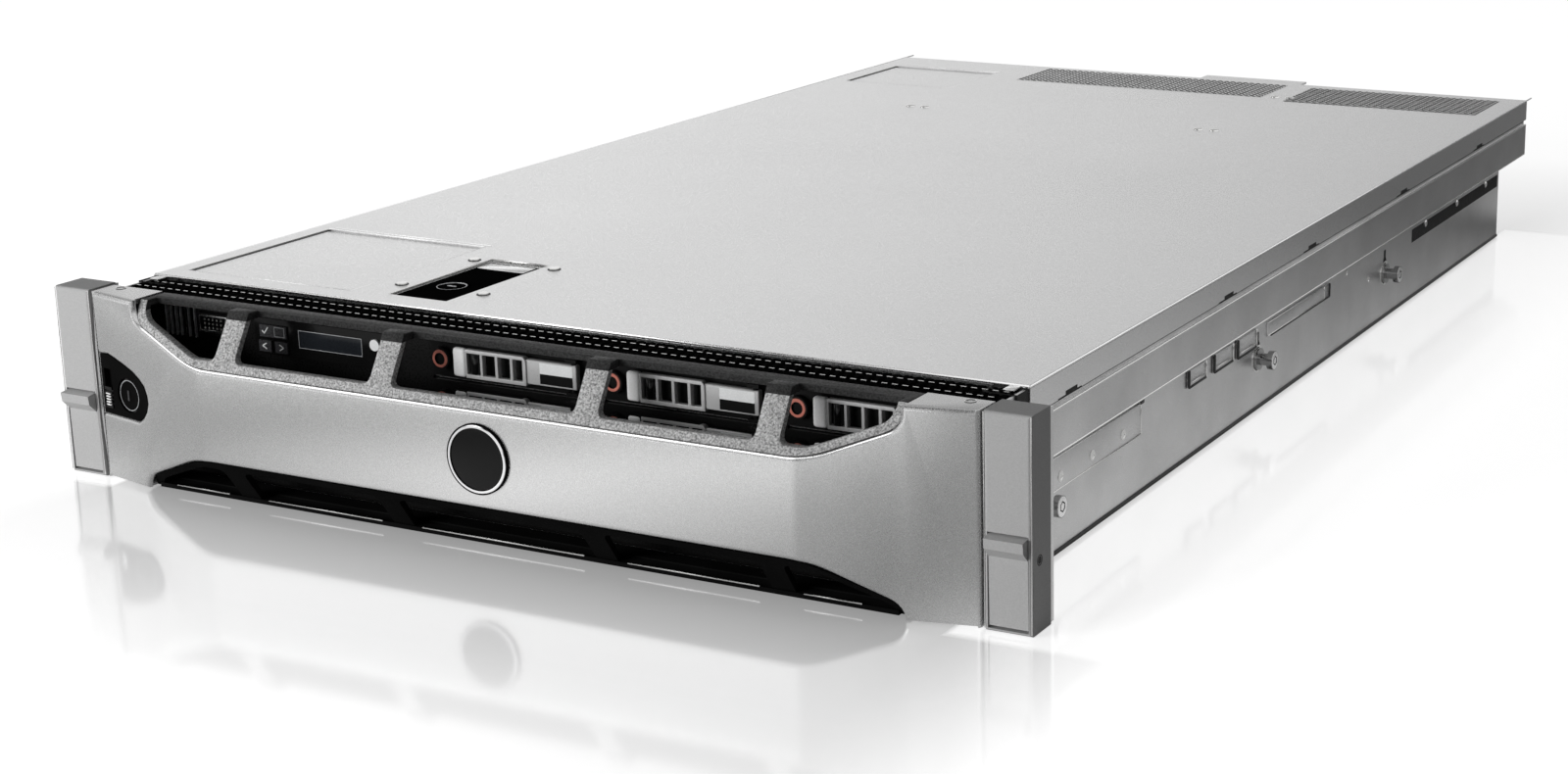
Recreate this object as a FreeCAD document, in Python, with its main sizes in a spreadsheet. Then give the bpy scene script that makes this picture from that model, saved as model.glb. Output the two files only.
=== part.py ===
import FreeCAD, Part
import os
import re

import Sketcher

# Two-unit rack server. X runs to the viewer's right when facing the front, Y runs to the
# rear and Z runs up. Depths in this file are measured from the front faces of the rack ears.

# Driving sizes in millimetres: name, value, what it measures.
SIZES = [
    ("rack_width", 482.4, "width across the rack ears"),
    ("ear_high", 86.4, "height of the rack ears"),
    ("ear_wide", 20.0, "width of one ear"),
    ("ear_deep", 16.5, "depth of the ear casting"),
    ("ear_wall", 1.4, "wall of the ear casting beside the lever"),
    ("ear_round", 1.6, "rounding of the ear's front edges"),
    ("bracket_thick", 1.8, "thickness of the ear bracket"),
    ("bracket_reach", 150.0, "length of the bracket arm along the chassis"),
    ("bracket_arm_high", 14.0, "height of the bracket arm"),
    ("ear_pad", 0.6, "how far the pad behind an ear stands back from its bracket"),
    ("ear_clear", 0.4, "gap between that pad and the wide band"),
    ("lever_high", 36.6, "height of the slam latch lever"),
    ("lever_lip", 4.2, "how far the lever's lip stands forward"),
    ("lever_thick", 4.4, "thickness of the lever"),
    ("lever_pin_up", 28.9, "height of the lever pin"),
    ("lever_pin_back", 6.7, "depth of the lever pin"),
    ("lever_pin_round", 1.5, "radius of the lever pin"),
    ("skirt_inset", 31.2, "distance of the lower chassis sides from the ears' outer edges"),
    ("band_inset", 19.7, "distance of the upper chassis and cover from the ears' outer edges"),
    ("sheet", 1.2, "thickness of the sheet steel"),
    ("skirt_high", 43.0, "height of the straight lower sides"),
    ("band_low", 51.0, "lower edge of the wide band"),
    ("band_high", 70.0, "upper edge of the wide band"),
    ("rear_step", 17.0, "how far the upper rear wall stands behind the lower one"),
    ("cover_high", 85.2, "height of the top of the cover"),
    ("cover_front", 40.0, "depth of the cover's front edge"),
    ("cover_back", 757.0, "depth of the cover's rear edge"),
    ("cover_tab", 12.0, "how far the rear tab reaches out"),
    ("cover_tab_wide", 70.0, "width of the rear tab"),
    ("cover_flange", 12.2, "height of the cover's side flanges"),
    ("cover_fold", 3.6, "height of the fold along the cover's front edge"),
    ("cover_round", 1.1, "rounding of the cover's bends"),
    ("cover_gap", 0.3, "clearance under and inside the cover"),
    ("recess_deep", 0.6, "depth of the stamped recesses in the cover"),
    ("label_recess_wide", 94.0, "width of the front stamped recess"),
    ("label_recess_long", 95.0, "length of the front stamped recess"),
    ("rear_recess_wide", 76.0, "width of the rear stamped recess"),
    ("rear_recess_long", 69.0, "length of the rear stamped recess"),
    ("latch_clear", 5.6, "gap between the latch pan's lip and the drive cage"),
    ("latch_wide", 31.0, "width of the latch opening"),
    ("latch_long", 73.0, "length of the latch opening"),
    ("latch_inset", 14.0, "distance of the latch opening from the cover's front edge"),
    ("pan_deep", 8.0, "depth of the latch pan under the cover"),
    ("pan_lip", 12.0, "width of the pan's lip under the cover"),
    ("pan_wall", 1.0, "wall of the latch pan"),
    ("latch_gap", 0.5, "clearance beside the latch lever"),
    ("latch_thick", 3.0, "thickness of the latch lever"),
    ("latch_pin_round", 1.5, "radius of the latch pin"),
    ("latch_knuckle", 2.6, "radius of the latch lever's knuckle"),
    ("latch_window", 9.0, "length of the finger opening in the latch lever"),
    ("coin_round", 6.0, "radius of the coin lock"),
    ("coin_back", 23.7, "distance of the coin lock from the latch opening's front"),
    ("rivet_round", 2.4, "radius of the rivet heads"),
    ("rivet_shank", 1.4, "radius of the rivet shanks"),
    ("rivet_rise", 0.8, "height of the rivet heads"),
    ("strip_gap", 1.6, "gap behind the bezel and before the cover"),
    ("panel_back", 20.0, "depth of the front panel"),
    ("bezel_gap", 1.6, "gap between the bezel and each ear"),
    ("bezel_margin", 0.5, "gap above and below the bezel within the ear height"),
    ("bezel_bulge", 14.5, "how far the bezel's crown stands forward"),
    ("bezel_back", 14.0, "depth of the bezel's rear edge"),
    ("bezel_round", 2.0, "rounding of the bezel's end corners"),
    ("pivot_inset", 5.1, "distance of the bezel's pivot from its right end"),
    ("pivot_back", 5.0, "depth of the bezel's pivot"),
    ("pivot_round", 1.4, "radius of the bezel's pivot pins"),
    ("pivot_low", 18.0, "height of the bezel's lower pivot rib"),
    ("pivot_high", 64.0, "height of the bezel's upper pivot rib"),
    ("pivot_rib", 4.0, "thickness of the pivot ribs and lugs"),
    ("pivot_gap", 0.3, "gap between a pivot rib and its lug"),
    ("end_run", 71.6, "width of each slanted end of the bezel"),
    ("crown_round", 18.0, "rounding where the crown meets the ends"),
    ("shell_thick", 2.5, "wall of the bezel shell"),
    ("sill_high", 62.4, "height of the shell's upper edge"),
    ("sill_low", 20.8, "height of the shell's lower edge"),
    ("diagonal_out", 4.4, "distance of the slanted edges from the end of the flat crown"),
    ("diagonal_run", 33.7, "width of the slanted ends of the shell's edges"),
    ("diagonal_rise", 13.1, "height of the slanted ends of the shell's edges"),
    ("sill_bend", 9.0, "reach of the soft bend between a straight and a slanted edge"),
    ("corner_bend", 6.5, "reach of the soft bend at an opening's outer corner"),
    ("corner_run", 4.0, "width of the steep corners of the shell's edges"),
    ("frame_gap", 0.2, "gap between the shell and the frames"),
    ("frame_thick", 2.6, "thickness of the window frames"),
    ("frame_lip", 3.4, "height of the frame edge below the windows"),
    ("window_round", 3.2, "rounding of the windows' inner corners"),
    ("window_side", 4.0, "width of the frame beside the outer windows"),
    ("window_bend", 1.6, "reach of an outer window's bend towards its post"),
    ("rail_front", 5.5, "depth of the front of the top and bottom rails"),
    ("post_wide", 10.8, "width of the posts between the windows"),
    ("post_inset", 13.5, "distance of the outer posts from the end of the flat crown"),
    ("badge_round", 14.6, "radius of the badge ring"),
    ("badge_rim", 1.6, "width of the badge ring"),
    ("badge_up", 42.2, "height of the badge's middle"),
    ("badge_proud", 1.4, "how far the badge ring stands forward"),
    ("badge_sunk", 0.5, "how far the disc lies behind the ring's face"),
    ("plate_thick", 3.0, "thickness of the lock plate"),
    ("plate_wide", 33.2, "width of the lock plate"),
    ("plate_high", 27.3, "height of the lock plate"),
    ("plate_low", 30.9, "height of the lock plate's lower edge"),
    ("plate_inset", 1.6, "distance of the lock plate from the bezel's end"),
    ("plate_sunk", 0.7, "how far the lock plate lies behind the bezel's face"),
    ("lock_round", 7.8, "radius of the lock cylinder"),
    ("lock_margin", 6.3, "distance of the lock from the plate's round end"),
    ("lock_up", 10.5, "height of the lock's middle above the plate's lower edge"),
    ("lock_sunk", 0.9, "how far the lock's face lies behind its plate's face"),
    ("lock_deep", 8.0, "how far the lock reaches behind the bezel's face"),
    ("lock_cam", 13.0, "length of the lock's cam"),
    ("slider_wide", 5.0, "width of the release slider"),
    ("slider_high", 9.6, "height of the release slider"),
    ("slider_travel", 8.0, "travel of the release slider"),
    ("slider_side", 2.2, "distance of the release slider from the plate's straight end"),
    ("slider_up", 2.6, "height of the slider's slot above the plate's lower edge"),
    ("slider_proud", 0.6, "how far the release slider stands out of its plate"),
    ("slider_gap", 0.2, "clearance beside the release slider"),
    ("turn_gap", 0.06, "radial clearance of turning pieces"),
    ("press_gap", 0.2, "clearance beside pressed buttons"),
    ("press_travel", 0.9, "travel of the buttons"),
    ("press_proud", 0.8, "how far the buttons stand out"),
    ("button_deep", 4.8, "depth of the display's buttons"),
    ("lcd_inset", 69.5, "distance of the display housing from the lower chassis side"),
    ("lcd_wide", 71.0, "width of the display housing"),
    ("lcd_low", 63.5, "height of the display housing's lower edge"),
    ("lcd_high", 16.0, "height of the display housing"),
    ("lcd_front", 15.0, "depth of the display housing's face"),
    ("lcd_deep", 18.0, "depth of the display housing"),
    ("screen_wide", 34.0, "width of the display"),
    ("screen_high", 7.4, "height of the display"),
    ("screen_thick", 1.2, "thickness of the display"),
    ("select_wide", 14.8, "width of the select button"),
    ("select_high", 5.4, "height of the select button"),
    ("arrow_wide", 6.8, "width of the arrow buttons"),
    ("arrow_high", 5.0, "height of the arrow buttons"),
    ("identify_round", 2.5, "radius of the identify button"),
    ("power_round", 4.0, "radius of the power button"),
    ("power_inset", 20.0, "distance of the power button from the lower chassis side"),
    ("power_up", 50.0, "height of the power button"),
    ("switch_deep", 9.0, "depth of the switch block"),
    ("vga_inset", 43.0, "distance of the monitor socket from the lower chassis side"),
    ("vga_wide", 17.0, "width of the monitor socket"),
    ("vga_high", 9.0, "height of the monitor socket"),
    ("vga_up", 72.5, "height of the monitor socket's middle"),
    ("usb_wide", 13.0, "width of a front USB socket"),
    ("usb_high", 6.0, "height of a front USB socket"),
    ("usb_up", 50.0, "height of the front USB sockets' middle"),
    ("socket_deep", 14.0, "depth of the front sockets"),
    ("socket_proud", 2.0, "how far the front sockets stand out of the panel"),
    ("socket_gap", 0.3, "clearance of sockets in their openings"),
    ("slot_wide", 2.6, "width of the front panel's slots"),
    ("slot_pitch", 5.0, "pitch of the front panel's slots"),
    ("intake_bar", 5.0, "width of the bars between the lower intake openings"),
    ("intake_high", 30.0, "height of the lower intake openings"),
    ("drive_side", 1.6, "distance of the last carrier from the lower chassis side"),
    ("drive_between", 3.7, "gap between two drive carriers"),
    ("drive_high", 16.6, "height of a drive carrier"),
    ("drive_deep", 131.0, "depth of a drive carrier"),
    ("drive_low", 45.2, "height of the lower carriers' undersides"),
    ("drive_gap", 0.4, "clearance around the carriers"),
    ("drive_front", 19.0, "depth of the carriers' faces"),
    ("shelf_thick", 0.8, "thickness of the cage's middle shelf"),
    ("cage_thick", 1.0, "thickness of the cage's walls"),
    ("cage_deep", 140.0, "depth of the drive cage"),
    ("face_thick", 4.0, "thickness of a carrier's face"),
    ("rail_thick", 3.0, "thickness of a carrier's rails"),
    ("handle_inset", 14.3, "distance of the handle's free end from the carrier's left edge"),
    ("handle_pin_inset", 8.5, "distance of the handle's pin from the carrier's right edge"),
    ("handle_thick", 4.0, "thickness of a carrier's handle"),
    ("handle_gap", 0.4, "clearance behind the handle and beside its knuckle"),
    ("handle_pin_round", 1.1, "radius of the handle's pin"),
    ("handle_knuckle", 2.2, "radius of the handle's knuckle"),
    ("handle_high", 12.6, "height of the handle's grip"),
    ("tongue_high", 10.4, "height of the handle's plain end"),
    ("lug_high", 1.5, "height of the lugs that hold the handle's pin"),
    ("grip_slot", 2.2, "width of the slots in the handle"),
    ("grip_pitch", 6.4, "pitch of the slots in the handle"),
    ("release_round", 4.6, "radius of the carrier's release button"),
    ("release_inset", 6.5, "distance of the release button from the carrier's left edge"),
    ("release_deep", 4.6, "depth of the release button"),
    ("backplane_thick", 1.8, "thickness of the drive backplane"),
    ("plug_deep", 8.0, "depth of the backplane's connectors"),
    ("fan_side", 80.0, "side of a fan frame"),
    ("fan_deep", 38.0, "depth of a fan frame"),
    ("fan_edge", 40.0, "gap between the outer fans and the lower chassis sides"),
    ("fan_back", 212.0, "depth of the fan bracket"),
    ("fan_bore", 38.0, "radius of the fan's bore"),
    ("fan_tip_gap", 1.2, "gap outside the fan blades"),
    ("fan_hub", 16.0, "radius of the fan's hub"),
    ("fan_shaft", 2.0, "radius of the fan's shaft"),
    ("fan_web", 4.0, "thickness of the fan's rear web"),
    ("board_up", 8.0, "height of the system board"),
    ("board_thick", 1.6, "thickness of the system board"),
    ("board_edge", 10.0, "distance of the system board from the lower chassis sides"),
    ("board_front", 262.0, "depth of the system board's front edge"),
    ("board_gap", 7.5, "gap between the board and the power supply beside it"),
    ("board_clear", 10.0, "gap between the board and the front of the power supplies"),
    ("post_round", 3.0, "radius of the board's standoffs"),
    ("chip_high", 4.0, "height of a processor in its socket"),
    ("chip_side", 50.0, "side of a processor socket"),
    ("sink_wide", 70.0, "width of a heat sink"),
    ("sink_high", 54.0, "height of a heat sink"),
    ("sink_base", 6.0, "thickness of a heat sink's base"),
    ("fin_gap", 4.2, "gap between the fins"),
    ("fin_pitch", 6.4, "pitch of the fins"),
    ("module_gap", 4.0, "gap before, between and behind the memory modules"),
    ("module_high", 32.0, "height of a memory module with its socket"),
    ("module_thick", 4.0, "thickness of a memory module"),
    ("module_pitch", 11.0, "pitch of the memory modules"),
    ("riser_high", 64.0, "height of the riser cards"),
    ("riser_long", 150.0, "length of the riser cards"),
    ("riser_thick", 1.8, "thickness of the riser cards"),
    ("riser_inset", 50.0, "distance of a riser card from the board's side"),
    ("riser_back", 30.0, "distance of the riser cards from the lower rear wall"),
    ("slot_between", 20.0, "gap between two slot covers"),
    ("cover_plate_high", 19.0, "height of a slot cover"),
    ("slot_lap", 6.0, "how far a slot cover laps its opening at each end"),
    ("slot_open_high", 13.0, "height of a rear slot opening"),
    ("slot_line", 64.0, "height of the rear slots' middle"),
    ("port_deep", 26.0, "depth of the rear connectors"),
    ("port_proud", 1.5, "how far the rear connectors stand out"),
    ("port_wall", 2.0, "wall of the rear connectors"),
    ("port_mouth", 8.0, "depth of the rear connectors' mouths"),
    ("lan_wide", 33.0, "width of a pair of network sockets"),
    ("lan_high", 14.5, "height of the network sockets"),
    ("video_wide", 31.0, "width of the monitor and serial sockets"),
    ("video_high", 12.5, "height of the monitor and serial sockets"),
    ("usb_stack", 15.0, "width and height of the stacked rear sockets"),
    ("psu_wide", 88.0, "width of a power supply"),
    ("psu_high", 39.0, "height of a power supply"),
    ("psu_long", 200.0, "length of a power supply"),
    ("psu_wall", 6.0, "wall of a power supply's case"),
    ("psu_gap", 0.4, "clearance around the power supplies"),
    ("psu_between", 3.0, "gap between the power supplies"),
    ("psu_side", 5.5, "gap between a power supply and the lower chassis side"),
    ("psu_handle", 22.0, "how far a power supply's handle stands out"),
    ("psu_bar", 5.0, "thickness of a power supply's handle"),
    ("psu_grip", 28.0, "height of a power supply's handle"),
    ("inlet_wide", 27.0, "width of the power inlet"),
    ("inlet_high", 20.0, "height of the power inlet"),
    ("inlet_deep", 16.0, "depth of the power inlet"),
    ("inlet_off", 20.0, "distance of the inlet from the middle of its supply"),
    ("prong_pitch", 7.0, "pitch of the inlet's prongs"),
    ("prong_thick", 2.0, "thickness of a prong"),
    ("prong_high", 4.0, "height of a prong"),
    ("prong_back", 4.0, "how far the prongs end inside the inlet"),
    ("grip_off", 6.0, "distance of the handle from the middle of its supply"),
    ("stud_up", 26.0, "height of the rail studs"),
    ("stud_first", 74.0, "depth of the first rail stud"),
    ("stud_second", 316.0, "depth of the second rail stud"),
    ("stud_third", 512.0, "depth of the third rail stud"),
    ("stud_neck", 3.0, "radius of a stud's neck"),
    ("stud_head", 4.6, "radius of a stud's head"),
    ("stud_collar", 5.4, "radius of a stud's collar"),
    ("stud_neck_long", 4.6, "length of a stud's neck"),
    ("stud_head_long", 2.8, "length of a stud's head"),
    ("stud_collar_long", 1.6, "length of a stud's collar"),
]

# Places that follow from the driving sizes.
PLACES = {
    "front_y": "(bezel_bulge + badge_proud - cover_back - cover_tab) / 2",
    "half": "rack_width / 2",
    "ear_in": "half - ear_wide",
    "rack_y": "ear_deep + bracket_thick",
    "rack_back": "rack_y + ear_pad",
    "skirt": "half - skirt_inset",
    "band": "half - band_inset",
    "rear_wall": "cover_back - rear_step",
    "wall_out": "band - sheet - cover_gap",
    "wall_top": "cover_high - sheet - cover_gap",
    "strip_low": "wall_top - sheet",
    "bezel_half": "ear_in - bezel_gap",
    "bezel_top": "ear_high - bezel_margin",
    "crown": "bezel_half - end_run",
    "post_outer": "crown - post_inset",
    "post_inner": "0.3814 * post_outer",
    "pivot_x": "bezel_half - pivot_inset",
    "low_lug": "pivot_low + pivot_rib + pivot_gap",
    "high_lug": "pivot_high - pivot_gap - pivot_rib",
    "slope": "atan2(bezel_bulge; bezel_half - crown)",
    "diagonal": "crown + diagonal_out",
    "climb": "diagonal_rise / diagonal_run",
    "panel_in": "panel_back + sheet",
    "panel_half": "skirt - sheet - bracket_thick - 0.5",
    "intake_pitch": "0.0678 * panel_half",
    "lcd_left": "skirt - lcd_inset",
    "power_left": "skirt - power_inset",
    "vga_left": "skirt - vga_inset",
    "latch_left": "latch_wide - latch_right",
    "latch_front": "cover_front + latch_inset",
    "latch_right": "cage_left - latch_clear - pan_lip",
    "latch_back": "latch_front + latch_long",
    "latch_low": "cover_high - sheet - pan_deep",
    "hinge_y": "latch_front + pan_wall + latch_knuckle + 2",
    "hinge_z": "cover_high - 0.6 - latch_thick",
    "drive_pitch": "0.41286 * skirt",
    "drive_wide": "drive_pitch - drive_between",
    "drive_middle": "skirt - drive_side - drive_wide / 2 - drive_pitch",
    "bay_wide": "drive_wide + 2 * drive_gap",
    "bay_low": "drive_low - drive_gap",
    "bay_high": "drive_low + drive_row + drive_high + drive_gap",
    "handle_left": "drive_wide / 2 - handle_inset",
    "handle_step": "0.088 * drive_wide",
    "handle_pin": "drive_wide / 2 - handle_pin_inset",
    "release_left": "drive_wide / 2 - release_inset",
    "drive_row": "drive_high + 2 * drive_gap + shelf_thick",
    "cage_back": "panel_in + cage_deep",
    "cage_left": "drive_middle - drive_pitch - bay_wide / 2 - cage_thick",
    "fan_z": "sheet + fan_side / 2",
    "fan_pitch": "skirt - fan_edge - fan_side / 2",
    "fan_in": "fan_back + sheet",
    "board_top": "board_up + board_thick",
    "board_half": "skirt - board_edge",
    "board_mid": "rear_wall - psu_long - board_clear",
    "board_span": "board_mid - board_front",
    "board_right": "psu_middle - psu_pitch / 2 - psu_wide / 2 - board_gap",
    "chip_side_x": "0.295 * board_half",
    "sink_long": "0.335 * board_span",
    "module_long": "(board_span - 3 * module_gap) / 2",
    "rear_slot_pitch": "0.657 * skirt",
    "cover_plate_wide": "rear_slot_pitch - slot_between",
    "slot_open_wide": "cover_plate_wide - 2 * slot_lap",
    "psu_pitch": "psu_wide + psu_between",
    "psu_middle": "skirt - psu_side - psu_wide - psu_between / 2",
    "sink_low": "board_top + chip_high",
    "psu_low": "sheet + psu_gap",
    "plate_back": "plate_sunk + plate_thick",
    "lock_face": "plate_sunk + lock_sunk",
    "lock_u": "plate_inset + plate_wide - lock_round - lock_margin",
    "lock_z": "plate_low + lock_up",
    "slider_u": "plate_inset + slider_side",
    "slider_z": "plate_low + slider_up",
}

doc = FreeCAD.newDocument("rack_server")
sheet = doc.addObject("Spreadsheet::Sheet", "Sizes")
for row, (alias, size, note) in enumerate(SIZES, 1):
    sheet.set("A%d" % row, note)
    sheet.set("B%d" % row, str(size))
    sheet.setAlias("B%d" % row, alias)
doc.recompute()

CELLS = {alias for alias, size, note in SIZES}
NODES = []
ALONG = {"X": (FreeCAD.Vector(0, 1, 0), 90), "Y": (FreeCAD.Vector(1, 0, 0), -90),
         "Z": (FreeCAD.Vector(0, 0, 1), 0)}


def written(text):
    """The expression with its places written out and its sizes as cells of the sheet."""
    def swap(match):
        word = match.group(0)
        if word in PLACES:
            return "(" + written(PLACES[word]) + ")"
        return "Sizes." + word if word in CELLS else word
    return re.sub(r"[A-Za-z_]\w*", swap, str(text))


def bind(thing, **sizes):
    for name, text in sizes.items():
        thing.setExpression(name, written(text))
    return thing


def place(thing, x, y, z):
    thing.setExpression("Placement.Base.x", written(x))
    thing.setExpression("Placement.Base.y", written("front_y + (%s)" % y))
    thing.setExpression("Placement.Base.z", written(z))
    return thing


def turn(thing, axis, angle):
    """Turn about an axis through the piece's own origin, by a bound angle."""
    thing.Placement = FreeCAD.Placement(FreeCAD.Vector(), FreeCAD.Rotation(axis, 10))
    thing.setExpression("Placement.Rotation.Angle", written(angle))
    return thing


def box(x, y, z, name="Block"):
    """A block between two values on each axis."""
    block = doc.addObject("Part::Box", name)
    bind(block, Length="(%s) - (%s)" % (x[1], x[0]), Width="(%s) - (%s)" % (y[1], y[0]))
    bind(block, Height="(%s) - (%s)" % (z[1], z[0]))
    return place(block, x[0], y[0], z[0])


def rod(axis, radius, ends, x="0", y="0", z="0", name="Rod"):
    """A cylinder along an axis between two values on it."""
    cylinder = doc.addObject("Part::Cylinder", name)
    cylinder.Placement = FreeCAD.Placement(FreeCAD.Vector(), FreeCAD.Rotation(*ALONG[axis]))
    bind(cylinder, Radius=radius, Height="(%s) - (%s)" % (ends[1], ends[0]))
    at = {"X": x, "Y": y, "Z": z}
    at[axis] = ends[0]
    return place(cylinder, at["X"], at["Y"], at["Z"])


def datum(body, plane):
    """A body's own base plane."""
    for feature in body.Origin.OriginFeatures:
        if feature.Role == plane + "_Plane":
            return feature


def drawn(body, plane, points):
    """A closed sketch whose corners are held by bound distances from the origin."""
    sketch = body.newObject("Sketcher::SketchObject", "Outline")
    sketch.AttachmentSupport = [(datum(body, plane), "")]
    sketch.MapMode = "FlatFace"
    flat = FreeCAD.Vector
    start = [flat(10 * i, 7 * (i % 3), 0) for i in range(len(points))]
    for i in range(len(points)):
        sketch.addGeometry(Part.LineSegment(start[i], start[(i + 1) % len(points)]), False)
    for i in range(len(points)):
        sketch.addConstraint(Sketcher.Constraint("Coincident", i, 2, (i + 1) % len(points), 1))
    for i, point in enumerate(points):
        for kind, text in zip(("DistanceX", "DistanceY"), point):
            at = sketch.addConstraint(Sketcher.Constraint(kind, -1, 1, i, 1,
                                                          start[i].x if kind[-1] == "X" else start[i].y))
            sketch.setExpression("Constraints[%d]" % at, written(text))
    return sketch


def prism(plane, points, ends, name="Shape"):
    """A padded outline: XY outlines rise along Z, XZ outlines along Y and YZ outlines along X."""
    body = doc.addObject("PartDesign::Body", name)
    sketch = drawn(body, plane, points)
    pad = body.newObject("PartDesign::Pad", "Pad")
    pad.Profile = sketch
    pad.Reversed = plane == "XZ"
    bind(pad, Length="(%s) - (%s)" % (ends[1], ends[0]))
    body.Tip = pad
    at = {"XY": ("0", "0", ends[0]), "XZ": ("0", ends[0], "0"), "YZ": (ends[0], "0", "0")}[plane]
    return place(body, *at)


def pocket(body, plane, points):
    """Cut an outline right through a body, both ways."""
    cut_out = body.newObject("PartDesign::Pocket", "Pocket")
    cut_out.Profile = drawn(body, plane, points)
    cut_out.Type = 1
    cut_out.Midplane = True
    body.Tip = cut_out
    return body


def rounded(body, radius, wanted):
    """Round those edges of a body that the test picks."""
    doc.recompute()
    tip = body.Tip
    names = ["Edge%d" % (i + 1) for i, edge in enumerate(tip.Shape.Edges) if wanted(edge)]
    fillet = body.newObject("PartDesign::Fillet", "Rounding")
    fillet.Base = (tip, names)
    bind(fillet, Radius=radius)
    body.Tip = fillet
    return body


def group(parts, name="Group"):
    together = doc.addObject("Part::Compound", name)
    together.Links = parts
    return together


def fuse(parts, name="Joined"):
    joined = doc.addObject("Part::MultiFuse", name)
    joined.Shapes = parts
    return joined


def cut(base, tools, name="Trimmed"):
    trimmed = doc.addObject("Part::Cut", name)
    trimmed.Base = base
    trimmed.Tool = tools[0] if len(tools) == 1 else group(tools, "Tools")
    return trimmed


def common(first, second, name="Shared"):
    shared = doc.addObject("Part::MultiCommon", name)
    shared.Shapes = [first, second]
    return shared


def node(label, thing):
    thing.Label = label
    NODES.append(thing)
    return thing


def mirrored(side, low, high):
    """A span on the right side, or the same span on the left."""
    return (low, high) if side > 0 else ("-(%s)" % high, "-(%s)" % low)


def signed(side, text):
    return text if side > 0 else "-(%s)" % text


def middle(text, size):
    """A span of a size about a value."""
    return ("(%s) - (%s) / 2" % (text, size), "(%s) + (%s) / 2" % (text, size))


# Chassis tray: the base and, on each side, a recessed wall, a bend, a band, a step and an upper wall.
OUTSIDE = [
    ("skirt", "sheet"), ("skirt", "skirt_high"), ("band", "band_low"), ("band", "band_high"),
    ("wall_out", "band_high"), ("wall_out", "wall_top"),
]
INSIDE = [
    ("skirt - sheet", "sheet"), ("skirt - sheet", "skirt_high + sheet / 2"),
    ("band - sheet", "band_low + sheet / 2"), ("band - sheet", "band_high - sheet"),
    ("wall_out - sheet", "band_high - sheet"), ("wall_out - sheet", "wall_top"),
]
base = box(("-skirt", "skirt"), ("rack_y", "rear_wall"), ("0", "sheet"))
sides = []
for step in range(5):
    outline = [OUTSIDE[step], OUTSIDE[step + 1], INSIDE[step + 1], INSIDE[step]]
    ends = ("rack_y", "rear_wall" if step == 0 else "cover_back")
    sides.append(prism("XZ", outline, ends, "Side"))
    turned = [("-(%s)" % x, z) for x, z in reversed(outline)]
    sides.append(prism("XZ", turned, ends, "Side"))
node("chassis_tray", group([base] + sides))

# Rear panel: lower sheets beside, between and over the supplies, a shelf and an upper wall.
PORTS = [
    ("lan", "-0.876 * skirt", "lan_wide", "lan_high"),
    ("lan_b", "-0.686 * skirt", "lan_wide", "lan_high"),
    ("video", "-0.481 * skirt", "video_wide", "video_high"),
    ("serial", "-0.295 * skirt", "video_wide", "video_high"),
    ("usb", "-0.114 * skirt", "usb_stack", "usb_stack"),
]
PSUS = [("psu_1", "psu_middle - psu_pitch / 2"), ("psu_2", "psu_middle + psu_pitch / 2")]
REAR_SLOTS = ["-rear_slot_pitch", "0", "rear_slot_pitch"]
rear_half = "(skirt - sheet - 0.2)"
upper_half = "(wall_out - sheet - 0.2)"
lower_y = ("rear_wall - sheet", "rear_wall")
upper_y = ("cover_back - sheet", "cover_back")
through_lower = ("rear_wall - 2 * sheet", "rear_wall + 1")
through_upper = ("cover_back - 2 * sheet", "cover_back + 1")
bay_half = "(psu_wide / 2 + psu_gap)"
edges = []
for label, at in PSUS:
    edges.append(("(%s) - %s" % (at, bay_half), "(%s) + %s" % (at, bay_half)))
over_bays = "psu_low + psu_high + psu_gap"
port_sheet = box(("-" + rear_half, edges[0][0]), lower_y, ("sheet", "skirt_high"))
port_holes = []
for label, at, wide, tall in PORTS:
    port_holes.append(box(middle(at, wide + " + 2 * socket_gap"), through_lower,
                          ("board_top - socket_gap", "board_top + %s + socket_gap" % tall)))
between = box((edges[0][1], edges[1][0]), lower_y, ("sheet", over_bays))
beside = box((edges[1][1], rear_half), lower_y, ("sheet", over_bays))
above = box((edges[0][0], rear_half), lower_y, (over_bays, "skirt_high"))
shelf = box(("-" + rear_half, rear_half), ("rear_wall - sheet", "cover_back"),
            ("skirt_high", "skirt_high + sheet"))
upper_wall = box(("-" + rear_half, rear_half), upper_y, ("skirt_high + sheet", "wall_top - 0.2"))
wide_wall = box(("-" + upper_half, upper_half), upper_y, ("band_low + sheet", "wall_top - 0.2"))
slot_holes = []
for at in REAR_SLOTS:
    slot_holes.append(box(middle(at, "slot_open_wide"), through_upper,
                          middle("slot_line", "slot_open_high")))
    for step in range(12):
        spot = "(%s) + (%s) * slot_open_wide / 11.8" % (at, step - 5.5)
        slot_holes.append(box(middle(spot, "4"), through_upper, ("slot_line - 16", "slot_line - 10")))
wall_above = cut(fuse([upper_wall, wide_wall]), slot_holes)
node("rear_panel", group([cut(port_sheet, port_holes), between, beside, above, shelf, wall_above]))

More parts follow.
